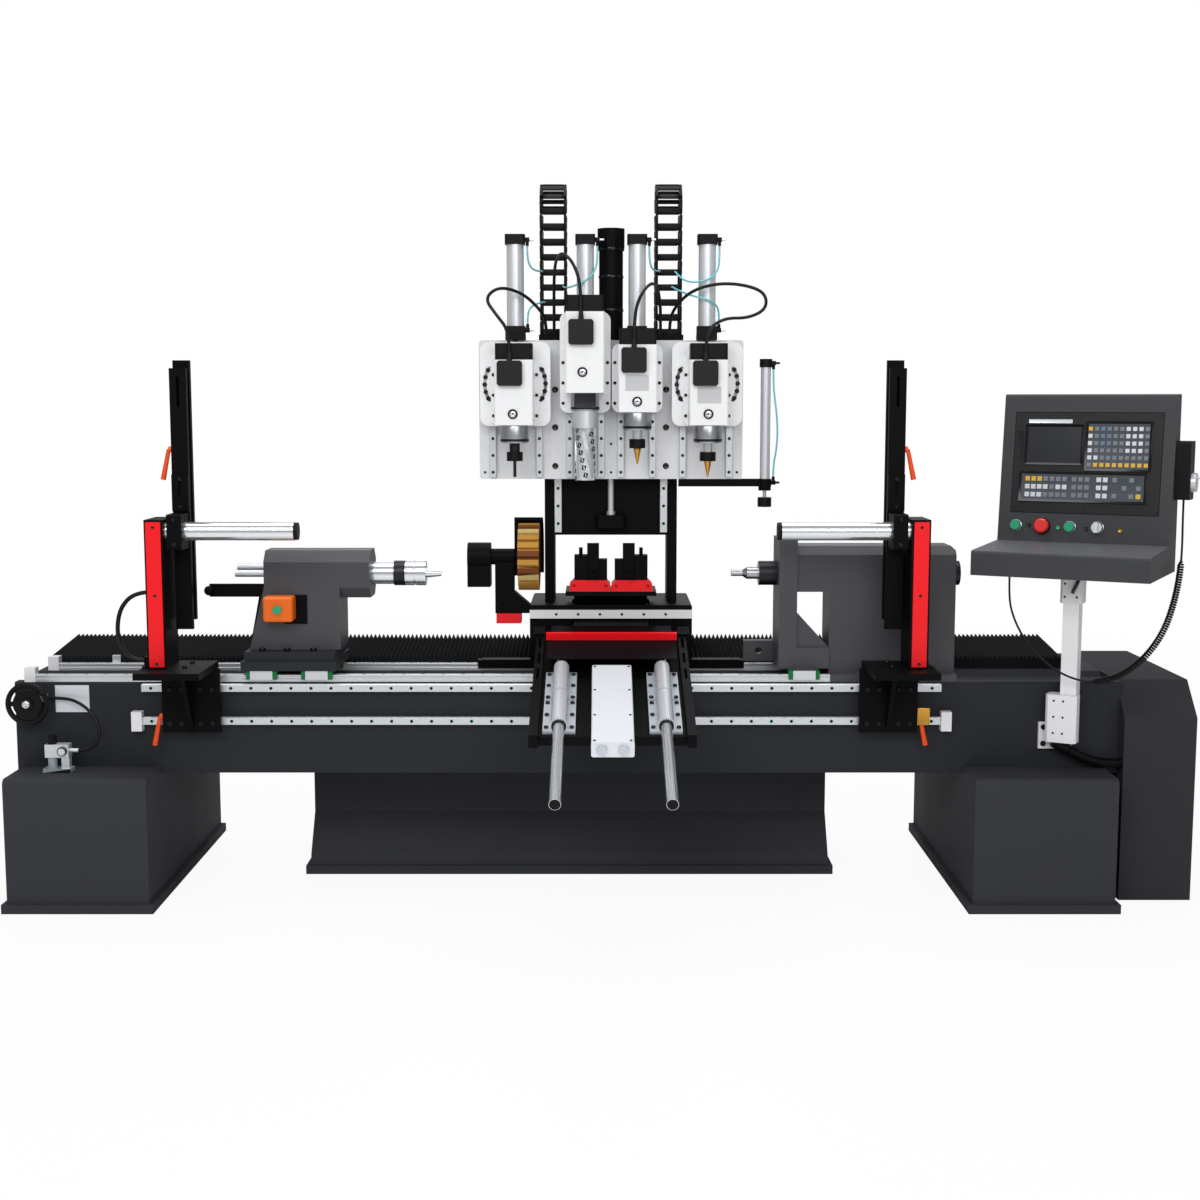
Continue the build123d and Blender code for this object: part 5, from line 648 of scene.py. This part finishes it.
cordLine = [consoleAt @ p for p in coiledLine(pendantCord)]
cordLength = lineLength(routeLine(cordLine, pendantCord["lengthSteps"]))
pendantPiece = layCord("pendantCord", cordLine, pendantCord["radius"], "hoseBlack", "console",
                       length=cordLength, steps=2, rings=1)
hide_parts("pendant_cord")
print("cords laid")


# pleated covers of the rear ways, one on each side of the saddle
bellows = dict(front=-0.0285, back=0.2595, low=0.700, slope=0.031, fold=0.016, pitch=0.014, cloth=0.002,
               near=0.001, merge=0.0005, topShare=0.9, smooth=20, left=(-1.681, -0.1253),
               right=(0.3953, 1.595))


def addBellows(name, x0, x1):
    low, fold, frontY, backY = (bellows[part] for part in ("low", "fold", "front", "back"))
    count = round((x1 - x0) / bellows["pitch"])
    pitch = (x1 - x0) / count
    depth = backY - frontY
    deselectAll()
    middle = (x0 + pitch / 4, (frontY + backY) / 2, low + fold / 2)
    bpy.ops.mesh.primitive_plane_add(size=1, location=middle)
    pleat = bpy.context.object
    pleat.name = name
    pleat.scale = (pitch / 2, depth, 1)
    bpy.ops.object.transform_apply()
    # one pleat: rise over the first half, fall over the second
    setMode("EDIT")
    bpy.ops.mesh.select_all(action="SELECT")
    bpy.ops.mesh.subdivide(number_cuts=1)
    setMode("OBJECT")
    for v in pleat.data.vertices:
        share = (v.co.x - x0) / (pitch / 2)
        v.co.z = low + fold * (1 - share if share > 0.5 else share) * 2
        v.co.x = x0 + share * pitch
    # skirts down to the bed along the front and back edges
    skirtDrop = low - bedTop

    def onRim(edge):
        ys = [pleat.data.vertices[i].co.y for i in edge.vertices]
        return max(ys) < frontY + bellows["near"] or min(ys) > backY - bellows["near"]

    pick(pleat, "EDGE", onRim)
    bpy.ops.mesh.extrude_region_move(TRANSFORM_OT_translate={"value": (0, 0, -skirtDrop)})
    setMode("OBJECT")
    tilt = bellows["slope"] / depth
    for v in pleat.data.vertices:
        if v.co.z > bedTop + skirtDrop * bellows["topShare"]:
            v.co.z += (v.co.y - frontY) * tilt
        else:
            v.co.z = bedTop
    row = pleat.modifiers.new("row", "ARRAY")
    row.use_relative_offset = False
    row.use_constant_offset = True
    row.constant_offset_displace = (pitch, 0, 0)
    row.count = count
    row.use_merge_vertices = True
    row.merge_threshold = bellows["merge"]
    bpy.ops.object.modifier_apply(modifier="row")
    thicken(pleat, bellows["cloth"], 0)
    return dress(pleat, "pleatCloth", None, "bellows_rubber", bellows["smooth"])


for name, (x0, x1), (bedEnd, saddleEnd) in (("leftBellows", bellows["left"], (0, 1)),
                                            ("rightBellows", bellows["right"], (1, 0))):
    cover = addBellows(name, x0, x1)
    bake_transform(cover)
    if name == "leftBellows":
        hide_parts("way_bellows")
print("bellows fitted")


# drag chains: a link modelled once and laid along the leg, over the bend and down
chains = dict(width=0.085, thick=0.040, wall=0.008, pitch=0.048, rung=0.009, bend=0.060, offset=0.185,
              frontY=0.063, backY=0.183, footZ=1.743, bendZ=2.147, shelfZ=1.560, bendLinks=4, bendTurn=158)
linkForm = dict(gap=0.0005, edge=0.003, waist=(0.005, 0.0015), pinRadius=0.008, pinEdge=0.001, pinDrop=0.012,
                pinSeat=0.3, pinReach=0.4, bar=0.003, barEdge=0.0015)


def addLink():  # two waisted side plates with a pin boss each, and two rungs
    w, t, wall, rung = chains["width"] / 2, chains["thick"] / 2, chains["wall"], chains["rung"]
    gap, bar = linkForm["gap"], linkForm["bar"]
    foot, head = gap - rung, chains["pitch"] - rung - 2 * gap
    pieces = []
    for s in (-1, 1):
        inner, outer = sorted((s * w, s * (w - wall)))
        pieces.append(addPlate("linkSide", (inner, -t, foot), (outer, t, head), linkForm["edge"], (s, 0, 0),
                               *linkForm["waist"]))
        pin = addDisc("linkPin", linkForm["pinRadius"], low=0, high=wall * linkForm["pinReach"],
                      edge=linkForm["pinEdge"], sides=14)
        pinX = s * (w - wall * linkForm["pinSeat"])
        pin.data.transform(facing(pinX, 0, head - linkForm["pinDrop"], (s, 0, 0)))
        pieces.append(pin)
    for y in (-t + bar, t - bar):
        pieces.append(addBlock("linkRung", (-w + wall, y - bar, -rung), (w - wall, y + bar, rung),
                               linkForm["barEdge"]))
    return joinAll("link", pieces)


footZ, shelfZ, bendZ, rung, pitch = (chains[part] for part in ("footZ", "shelfZ", "bendZ", "rung", "pitch"))
for side, label in ((-1, "Left"), (1, "Right")):
    x = saddleX + side * chains["offset"]
    legs = {}
    for leg, y, low in (("Front", chains["frontY"], footZ), ("Back", chains["backY"], shelfZ)):
        count = round((bendZ - low) / pitch + 0.2)
        places = [at(x, y, low + rung + k * pitch) for k in range(count)]
        legs[leg] = scatter(addLink(), f"chain{leg}{label}", places)
    top = at(x, (chains["frontY"] + chains["backY"]) / 2, bendZ)
    links = chains["bendLinks"]
    turns = [math.radians(chains["bendTurn"] * (k + 0.5) / links) for k in range(links)]
    legs["Bend"] = scatter(addLink(), f"chainBend{label}", [
        top @ Matrix.Rotation(turn, 4, "X") @ at(0, chains["bend"], rung - pitch / 2) for turn in turns])
    for piece in legs.values():
        dress(piece, "blackPlastic", None, "black_plastic")
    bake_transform(legs["Front"])
    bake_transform(legs["Back"])
    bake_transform(legs["Bend"])
    if side < 0:
        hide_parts("drag_chains")
print("drag chains laid")


# screws and plugs, by what carries them
def rows(xs, ys, zs):
    return [(x, y, z) for z in zs for y in ys for x in xs]


def placed(frameAt, points):  # points of a local frame as places in the room
    return [tuple(frameAt @ Vector(point)) for point in points]


def turned(frameAt, direction):
    return tuple(frameAt.to_3x3() @ Vector(direction))


front, up = (0, -1, 0), (0, 0, 1)
slope = (0, -math.sin(math.radians(deckSlope)), math.cos(math.radians(deckSlope)))
plugs = [
    dict(name="faceRailPlugs", body="base", normal=front,
         spots=rows(spread(-1.28, 1.12, 0.0612), [-0.316], (0.659, 0.556))),
    dict(name="topRailPlugs", body="base", normal=up,
         spots=rows(spread(-1.61, 0.78, 0.0612), (-0.2785, -0.0545), [0.697])),
    dict(name="liftRailPlugs", body="saddle", normal=front,
         spots=rows((-0.035, 0.305), [0.006], spread(1.142, 1.54, 0.06))),
    dict(name="spindleRailPlugs", body="head", normal=front,
         spots=[(x + s * g, -0.074, z) for x, g in zip(units["x"], units["gauge"]) for s in (-1, 1)
                for z in (1.311, 1.364, 1.417, 1.470)]),
]
for row in plugs:
    plug = addDish("plug", radius=0.0054, high=0.0002, edge=0.0003, sides=10, sinks=[(0.0012, 0.0002)])
    piece = scatter(plug, row["name"], [facing(*spot, row["normal"]) for spot in row["spots"]])
    dress(piece, "greenPlug", row["body"], "green_plastic")

flangeSpots = [(side * 0.15 + wing * 0.036, s, 0.014) for side in (-1, 1) for wing in (-1, 1)
               for s in (-0.392, -0.468, -0.546, -0.582, -0.658, -0.736)]
driveSpots = [(x, s, 0.046) for x in (-0.05, 0.05) for s in (-0.402, -0.56, -0.72, -0.874)]
panelSpots = rows((-0.215, 0, 0.215), (0.097, 0.392), [0.001]) + [(0.215, 0.245, 0.001)]
collarSpots = [(-0.018, -0.033, -0.03), (-0.018, -0.033, -0.07), (0.018, -0.033, -0.07)]
collarSpots += rows((-0.04, -0.012), [-0.034], (-0.39, -0.44, -0.49))
# size is radius and height; a row without look or normal is dark metal and looks to the front
screws = [
    dict(name="headBolts", body="head", size=(0.010, 0.003), look="blackGloss",
         spots=rows((-0.042, 0.309), [-0.056], (1.571, 1.452, 1.330))),
    dict(name="headEdgeScrews", body="head", size=(0.004, 0.0015),
         spots=rows((-0.265, 0.535), [-0.056], (1.31, 1.70)) + rows([0.135], [-0.056], (1.31, 1.40))),
    dict(name="flangeScrews", body="saddle", size=(0.0065, 0.005), look="blackGloss", normal=slope,
         spots=placed(deckAt, flangeSpots)),
    dict(name="driveScrews", body="saddle", size=(0.004, 0.0015), normal=slope,
         spots=placed(deckAt, driveSpots)),
    dict(name="stripScrews", body="saddle", size=(0.0045, 0.001),
         spots=rows(spread(-0.04, 0.31, 0.07), [-0.078], [0.8575])),
    dict(name="panelScrews", body="console", size=(0.0036, 0.0014), normal=turned(panelAt, up),
         spots=placed(panelAt, panelSpots)),
    dict(name="standBolts", body="base", size=(0.0085, 0.006), spots=rows([1.468], [-0.306], (0.485, 0.537))),
    dict(name="plateRivets", body="base", size=(0.0025, 0.0012), look="polished",
         spots=rows((-1.5755, -1.4815), [-0.2955], (0.587, 0.659))),
    dict(name="tailstockBolts", body="tailstock", size=(0.0105, 0.009), look="blackGloss", normal=up,
         spots=rows((-0.943, -0.866, -0.785), [-0.273], [0.769])),
    dict(name="collarScrews", body="base", size=(0.0035, 0.001), normal=turned(consoleAt, front),
         spots=placed(consoleAt, collarSpots)),
]
arcSlot = dict(radius=0.095, y=-0.116, z=1.5875, turns=(-27, -13, 1, 15, 28))
for i, (x, y, boxTop) in enumerate(zip(units["x"], units["front"], units["boxTop"])):
    body = f"spindle_{i + 1}"
    outer = i in (0, 3)
    levels, wing = ((1.616, 1.553, 1.489), 0.0675) if outer else ((1.654, 1.591, 1.528), 0.0695)
    boxZ = boxTop - 0.0385
    screws += [
        dict(name=f"plateScrews{i + 1}", body=body, size=(0.0052, 0.0022), look="blackGloss",
             spots=rows((x - wing, x + wing), [y], levels)),
        dict(name=f"boxScrews{i + 1}", body=body, size=(0.003, 0.001),
             spots=rows((x - 0.043, x + 0.019), [-0.234], (boxZ - 0.031, boxZ + 0.031)))]
    if outer:
        r = arcSlot["radius"]
        turns = [math.radians(turn + flip) for flip in (0, 180) for turn in arcSlot["turns"]]
        spots = [(x + r * math.cos(t), arcSlot["y"], arcSlot["z"] + r * math.sin(t)) for t in turns]
        screws.append(dict(name=f"slotBolts{i + 1}", body=body, size=(0.0072, 0.004), spots=spots))
for name, side, postX in loaders["sides"]:
    body, arm = f"{name}_loader", f"{name}_arm"
    armX, plateX = postX + side * loaders["arm"], postX + side * loaders["plate"]
    screws += [
        dict(name=f"{name}CoverScrews", body=body, size=(0.0048, 0.0015), look="blackGloss",
             spots=rows([postX], [-0.482], (1.166, 0.964, 0.760))),
        dict(name=f"{name}PlateBolts", body=body, size=(0.0075, 0.005),
             spots=rows([plateX + d for d in (-0.066, -0.03, 0.03, 0.066)], [-0.346], (0.66, 0.555))),
        dict(name=f"{name}ShelfBolts", body=body, size=(0.0075, 0.006), normal=up,
             spots=rows((postX - side * 0.046, postX + side * 0.075), (-0.452, -0.36), [0.745])),
        dict(name=f"{name}ClampScrews", body=arm, size=(0.0055, 0.003),
             spots=rows([armX], [-0.482], (1.116, 1.190)) + rows([armX], [-0.395], (1.222, 1.304)))]
for row in screws:
    normal = row.get("normal", front)
    piece = scatter(addScrew(*row["size"]), row["name"], [facing(*spot, normal) for spot in row["spots"]])
    dress(piece, row.get("look", "darkMetal"), row["body"], "black_iron")
print("screws and plugs set:", len(screws) + len(plugs))


# sight glasses of the spindles
eyes = dict(places=((-0.168, 1.495), (0.046, 1.623), (0.214, 1.533), (0.433, 1.495)), y=-0.216,
            sinks=((0.0045, 0.0012), (0.004, -0.001), (0.003, 0.0015)), bright=(0.0045, 0.0115))
for i, (x, z) in enumerate(eyes["places"]):
    eye = addDish(f"spindleEye{i + 1}", radius=0.0155, high=0.003, edge=0.0008, sides=28, sinks=eyes["sinks"])
    eye.data.transform(facing(x, eyes["y"], z, front))
    dress(eye, "blackGloss", f"spindle_{i + 1}", "black_plastic")
    inner, outer = eyes["bright"]
    colourFaces(eye, "polished", lambda f: inner < (f.center - Vector((x, f.center.y, z))).length < outer)

# plates with a recess: spindle panes and nose plate, the bed's bare plate, a brass stop, the door's handle
pane = dict(look="windowPane", slot="aluminium", edge=0.0005, sink=(0.002, 0.0006))
plates = [
    dict(pane, name="paneThree", body="spindle_3", low=(0.178, -0.2172, 1.566), high=(0.250, -0.2150, 1.614)),
    dict(pane, name="paneFour", body="spindle_4", low=(0.399, -0.2172, 1.528), high=(0.472, -0.2150, 1.578)),
    dict(name="nosePlate", body="spindle_2", look="darkMetal", slot="black_iron", edge=0.002,
         sink=(0.004, 0.001), low=(0.021, -0.2165, 1.513), high=(0.087, -0.196, 1.5595)),
    dict(name="barePlate", body="base", look="platePale", slot="aluminium", edge=0.0006,
         sink=(0.003, 0.0003), low=(-1.581, -0.2956, 0.581), high=(-1.476, -0.2935, 0.665)),
    dict(name="brassStop", body="right_loader", look="brass", slot="steel", edge=0.0015,
         sink=(0.006, 0.0015), low=(1.070, -0.352, 0.551), high=(1.108, -0.3458, 0.604)),
    dict(name="doorHandle", body="base", look="blackGloss", slot="black_plastic", edge=0.003,
         sink=(0.005, 0.003), low=(1.930, -0.150, 0.330), high=(1.936, -0.118, 0.452), normal=(1, 0, 0)),
]
for row in plates:
    normal = row.get("normal", front)
    plate = addPlate(row["name"], row["low"], row["high"], row["edge"], normal, *row["sink"])
    dress(plate, row["look"], row["body"], row["slot"])

# turned sleeves and dark rings round the spindle noses, measured down from the spindle's body
nose = dict(y=-0.166, radius=0.043, edge=0.0004)
noseParts = [dict(name="noseSleeve", grow=0.0007, wall=0.0005, low=0.0545, high=0.0003, look="turned"),
             dict(name="noseRing", grow=0.0016, wall=0.0008, low=0.0505, high=0.0425, look="darkMetal")]
for i, (x, bodyLow) in enumerate(zip(units["x"], units["bodyLow"])):
    for row in noseParts:
        sleeve = addSleeve(f"{row['name']}{i + 1}", nose["radius"] + row["grow"], bodyLow - row["low"],
                           bodyLow - row["high"], nose["edge"], row["wall"])
        sleeve.data.transform(at(x, nose["y"], 0))
        dress(sleeve, row["look"], f"spindle_{i + 1}", "steel")

# cutting inserts set along the flutes of the long cutter
cutter = dict(x=0.054, y=-0.166, top=1.452, height=0.161, radius=0.031, sunk=0.0012, turn=70, start=30,
              lean=-14, flutes=4, perFlute=7)
insert = addPlate("insert", low=(-0.0050, -0.0062, -0.0075), high=(0.0016, 0.0062, 0.0075), edge=0.0008,
                  direction=(1, 0, 0), rim=0.0022, depth=0.001)
spots = []
for f in range(cutter["flutes"]):
    for k in range(cutter["perFlute"]):
        share = (k + 0.3 + 0.5 * (f % 2)) / cutter["perFlute"]
        turn = math.radians(90 * f + cutter["start"] + cutter["turn"] * share)
        spots.append(at(cutter["x"], cutter["y"], cutter["top"] - cutter["height"] * share)
                     @ Matrix.Rotation(turn, 4, "Z") @ at(cutter["radius"] - cutter["sunk"], 0, 0)
                     @ Matrix.Rotation(math.radians(cutter["lean"]), 4, "X"))
dress(scatter(insert, "cutterInserts", spots), "blackGloss", "spindle_2_rotor", "steel")

# the ring in each guide rod's end
rodEnd = addDish("rodEnd", radius=0.0150, high=0.0012, edge=0.0008, sides=28,
                 sinks=[(0.005, 0.0004), (0.004, 0.0006)])
downSlope = turned(deckAt, (0, -1, 0))
ends = [facing(*spot, downSlope) for spot in placed(deckAt, rows((-0.15, 0.15), [-1.194], [0.030]))]
dress(scatter(rodEnd, "rodEnds", ends), "blackPlastic", "tool_carriage", "steel")

# bands of the lift motor
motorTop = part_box("servo_motors")[1].z
for k, (drop, radius) in enumerate(((0.064, 0.0425), (0.15, 0.0398), (0.255, 0.0398), (0.352, 0.0425))):
    band = addDish(f"motorBand{k + 1}", radius, low=-0.005, high=0.005, edge=0.0015, sides=40,
                   sinks=[(0.003, 0.001)])
    band.data.transform(at(saddleX, 0.014, motorTop - drop))
    dress(band, "blackGloss", "saddle", "black_iron")

# operator panel, in the panel's own frame: fields are x and y limits, keys stand on keyFoot
panel = dict(screen=(-0.190, -0.0115, 0.2368, 0.3632), upper=(-0.0058, 0.1927, 0.2199, 0.3733),
             lower=(-0.2016, 0.1838, 0.1225, 0.2168), edge=0.0014, rim=0.0065, keyFoot=0.0036, keyTop=0.0052)


def addField(name, box, low, high, depth, inner):
    piece = addPlate(name, (box[0], box[2], low), (box[1], box[3], high), panel["edge"], up, panel["rim"],
                     depth)
    dress(piece, "blackGloss", "console", "black_plastic")
    colourFaces(piece, inner, lambda f: f.normal.z > facesAlong and abs(f.center.z - (high - depth)) < 0.0002)
    piece.data.transform(panelAt)


addField("screenBezel", panel["screen"], -0.003, 0.0042, 0.005, "screen")
addField("upperKeyFrame", panel["upper"], 0.0005, 0.0058, 0.0022, "keyField")
addField("lowerKeyFrame", panel["lower"], 0.0005, 0.0058, 0.0022, "keyField")
# a letter for each key's colour, and a blank where the field has none
keyLooks = {"A": "keyAmber", "B": "keyBlue", "G": "keyGrey", "P": "keyPale"}
keyFields = [
    dict(field="upper", size=0.0062, xs=spread(0.075, 0.925, 0.0944), ys=spread(0.15, 0.87, 0.144),
         rows=("AGBBGGPPPG", "PGBBGGPPPG", "PGBBGGPPPG", "PGGGGGPPPG", "PPGGGGGGGG", "GAAAAAAAAA")),
    dict(field="lower", size=0.0072, ys=(0.24, 0.5, 0.76),
         xs=(0.07, 0.118, 0.166, 0.214, 0.264, 0.314, 0.364, 0.44, 0.49, 0.54, 0.632, 0.682, 0.755, 0.83,
             0.885, 0.94),
         rows=("AAAGGGGGGGPPG G ", "PPPPGPPGGGPP G G", "PPPGGGGGGGPPG GA")),
]
keyGroups = {}
for keys in keyFields:
    x0, x1, y0, y1 = panel[keys["field"]]
    for y, letters in zip(keys["ys"], keys["rows"]):
        for x, letter in zip(keys["xs"], letters):
            if letter in keyLooks:
                spot = at(x0 + x * (x1 - x0), y1 - y * (y1 - y0), panel["keyFoot"])
                keyGroups.setdefault((keyLooks[letter], keys["size"]), []).append(spot)
for (look, size), spots in keyGroups.items():
    key = addPlate("key", (-size, -size, 0), (size, size, panel["keyTop"] - panel["keyFoot"]), edge=0.0007,
                   direction=up, rim=size * 0.3, depth=0.0003)
    keys = scatter(key, f"{look}Keys{round(size * 10000)}", [panelAt @ spot for spot in spots])
    dress(keys, look, "console", "black_plastic")
for name, box, high, look in (("blankStrip", (-0.182, -0.048, 0.3665, 0.3785), 0.0018, "platePale"),
                              ("portCover", (-0.214, -0.1965, 0.258, 0.342), 0.003, "boxPlastic")):
    strip = addPlate(name, (box[0], box[2], 0.0002), (box[1], box[3], high), edge=0.0006, direction=up,
                     rim=0.0012, depth=0.0003)
    strip.data.transform(panelAt)
    dress(strip, look, "console", "black_plastic")
controls = ((-0.204, 0.0185, "polished"), (-0.121, 0.0245, "boxPlastic"), (-0.038, 0.0185, "polished"),
            (0.045, 0.0195, "polished"))
for k, (x, radius, look) in enumerate(controls):
    ring = addDish(f"controlRing{k + 1}", radius, high=0.0028, edge=0.0012, sides=32,
                   sinks=[(radius * 0.16, 0.0026)])
    ring.data.transform(panelAt @ at(x, 0.048, 0))
    dress(ring, look, "console", "steel")
panelLamps = ((-0.163, 0.050, "darkMetal"), (-0.073, 0.044, "greenCap"), (0.0115, 0.044, "darkMetal"),
              (0.1135, 0.041, "brass"))
for k, (x, y, look) in enumerate(panelLamps):
    lamp = addDish(f"panelLamp{k + 1}", radius=0.0062, high=0.004, edge=0.0012, sides=20,
                   sinks=[(0.0022, 0.001)])
    lamp.data.transform(panelAt @ at(x, y, 0))
    dress(lamp, look, "console", "black_plastic")

# clamp lever of the stand's collar
lever = addBlock("collarLever", low=(-0.005, -0.006, -0.05), high=(0.005, 0.006, 0.004), edge=0.003)
lever.data.transform(consoleAt @ at(0.026, -0.0392, -0.012) @ Matrix.Rotation(math.radians(24), 4, "Y"))
dress(lever, "blackGloss", "base", "black_plastic")

# small round fittings: the gauge's dial, the handwheel's nut, the hinges of the cabinet's door
dial = addDish("gaugeDial", radius=0.0135, high=0.002, edge=0.0006, sides=28, sinks=[(0.002, 0.001)])
dial.data.transform(facing(-1.537, -0.392, 0.476, front))
dress(dial, "blackGloss", "base", "black_plastic")
colourFaces(dial, "platePale", lambda f: f.normal.y < -facesAlong and f.area > 0.0002)
nut = addDish("wheelNut", radius=0.0125, high=0.009, edge=0.0015, sides=6, sinks=[(0.004, -0.004)])
nut.data.transform(facing(-1.652, -0.350, 0.615, front))
dress(nut, "steel", "handwheel", "steel", 25)
hinge = addDish("hinge", radius=0.008, low=-0.03, high=0.03, edge=0.002, sides=16, sinks=[(0.002, 0.002)])
hinges = scatter(hinge, "doorHinges", [at(1.9312, 0.306, z) for z in (0.14, 0.535)])
dress(hinges, "darkMetal", "base", "steel")
print("fittings made")


# studio: pale floor, white surround for the camera, soft lamps
studio = dict(floorSize=40, floorTone=0.9, floorRough=0.35, world=0.40, nearWhite=0.93, whiteFrom=2.2,
              whiteBy=7)
plainWhite = {"Color": (1, 1, 1, 1), "Strength": 1}


def whiteForCamera(tree, lit, white):  # mixes in plain white for what the camera sees
    mix = addNode(tree, "MixShader")
    tree.links.new(lit, mix.inputs[1])
    tree.links.new(white, mix.inputs[2])
    return addNode(tree, "LightPath").outputs["Is Camera Ray"], mix


world = bpy.data.worlds.new("studioWorld")
scene.world = world
world.use_nodes = True
tree = world.node_tree
ambient = tree.nodes["Background"]
ambient.inputs["Color"].default_value = plainWhite["Color"]
ambient.inputs["Strength"].default_value = studio["world"]
white = addNode(tree, "Background", plainWhite)
seen, mix = whiteForCamera(tree, ambient.outputs[0], white.outputs[0])
tree.links.new(seen, mix.inputs[0])
tree.links.new(mix.outputs[0], tree.nodes["World Output"].inputs["Surface"])

deselectAll()
bpy.ops.mesh.primitive_plane_add(size=studio["floorSize"], location=(0, 0, 0))
floor = bpy.context.object
floor.name = "studioFloor"
floorFinish = bpy.data.materials.new("studioFloorPale")
floorFinish.use_nodes = True
tree = floorFinish.node_tree
shader = tree.nodes["Principled BSDF"]
shader.inputs["Base Color"].default_value = (*[studio["floorTone"]] * 3, 1)
shader.inputs["Roughness"].default_value = studio["floorRough"]
glow = addNode(tree, "Emission", plainWhite)
seen, mix = whiteForCamera(tree, shader.outputs[0], glow.outputs[0])
# near the object the camera still sees a little of the lit floor, with its shadow
reach = addNode(tree, "VectorMath")
reach.operation = "LENGTH"
tree.links.new(addNode(tree, "TexCoord").outputs["Object"], reach.inputs[0])
fade = addNode(tree, "MapRange", {"From Min": studio["whiteFrom"], "From Max": studio["whiteBy"],
                                  "To Min": studio["nearWhite"], "To Max": 1})
tree.links.new(reach.outputs["Value"], fade.inputs["Value"])
soften = addNode(tree, "Math")
soften.operation = "MULTIPLY"
tree.links.new(seen, soften.inputs[0])
tree.links.new(fade.outputs["Result"], soften.inputs[1])
tree.links.new(soften.outputs[0], mix.inputs[0])
tree.links.new(mix.outputs[0], tree.nodes["Material Output"].inputs["Surface"])
floor.data.materials.append(floorFinish)

lamps = [
    dict(name="keyLamp", place=(-1.8, -5.6, 4.4), target=(0, 0, 0.9), size=(3.0, 2.4), power=130),
    dict(name="fillLamp", place=(1.6, -5.8, 3.2), target=(0.2, 0, 0.9), size=(3.0, 2.4), power=80),
    dict(name="topLamp", place=(0, 0.2, 5.2), target=(0, 0, 0.8), size=(5.5, 2.6), power=156),
    dict(name="backLamp", place=(0, 4.8, 3.4), target=(0, 0, 1.0), size=(4.0, 2.0), power=40),
]
for row in lamps:
    lamp = bpy.data.lights.new(row["name"], "AREA")
    lamp.shape = "RECTANGLE"
    lamp.size, lamp.size_y = row["size"]
    lamp.energy = row["power"]
    lampObject = addObject(row["name"], lamp)
    lampObject.location = row["place"]
    aim = Vector(row["target"]) - Vector(row["place"])
    lampObject.rotation_euler = aim.to_track_quat("-Z", "Y").to_euler()

photoCamera = dict(place=(0.1, -5.366, 1.538), pitch=6.84, lens=50, sensor=36)
camera = bpy.data.cameras.new("photoCamera")
camera.lens = photoCamera["lens"]
camera.sensor_width = photoCamera["sensor"]
cameraObject = addObject("photoCamera", camera)
cameraObject.location = photoCamera["place"]
cameraObject.rotation_euler = (math.radians(90 - photoCamera["pitch"]), 0, 0)
bpy.context.scene.camera = cameraObject
scene.view_settings.view_transform = "Standard"
print("studio set")
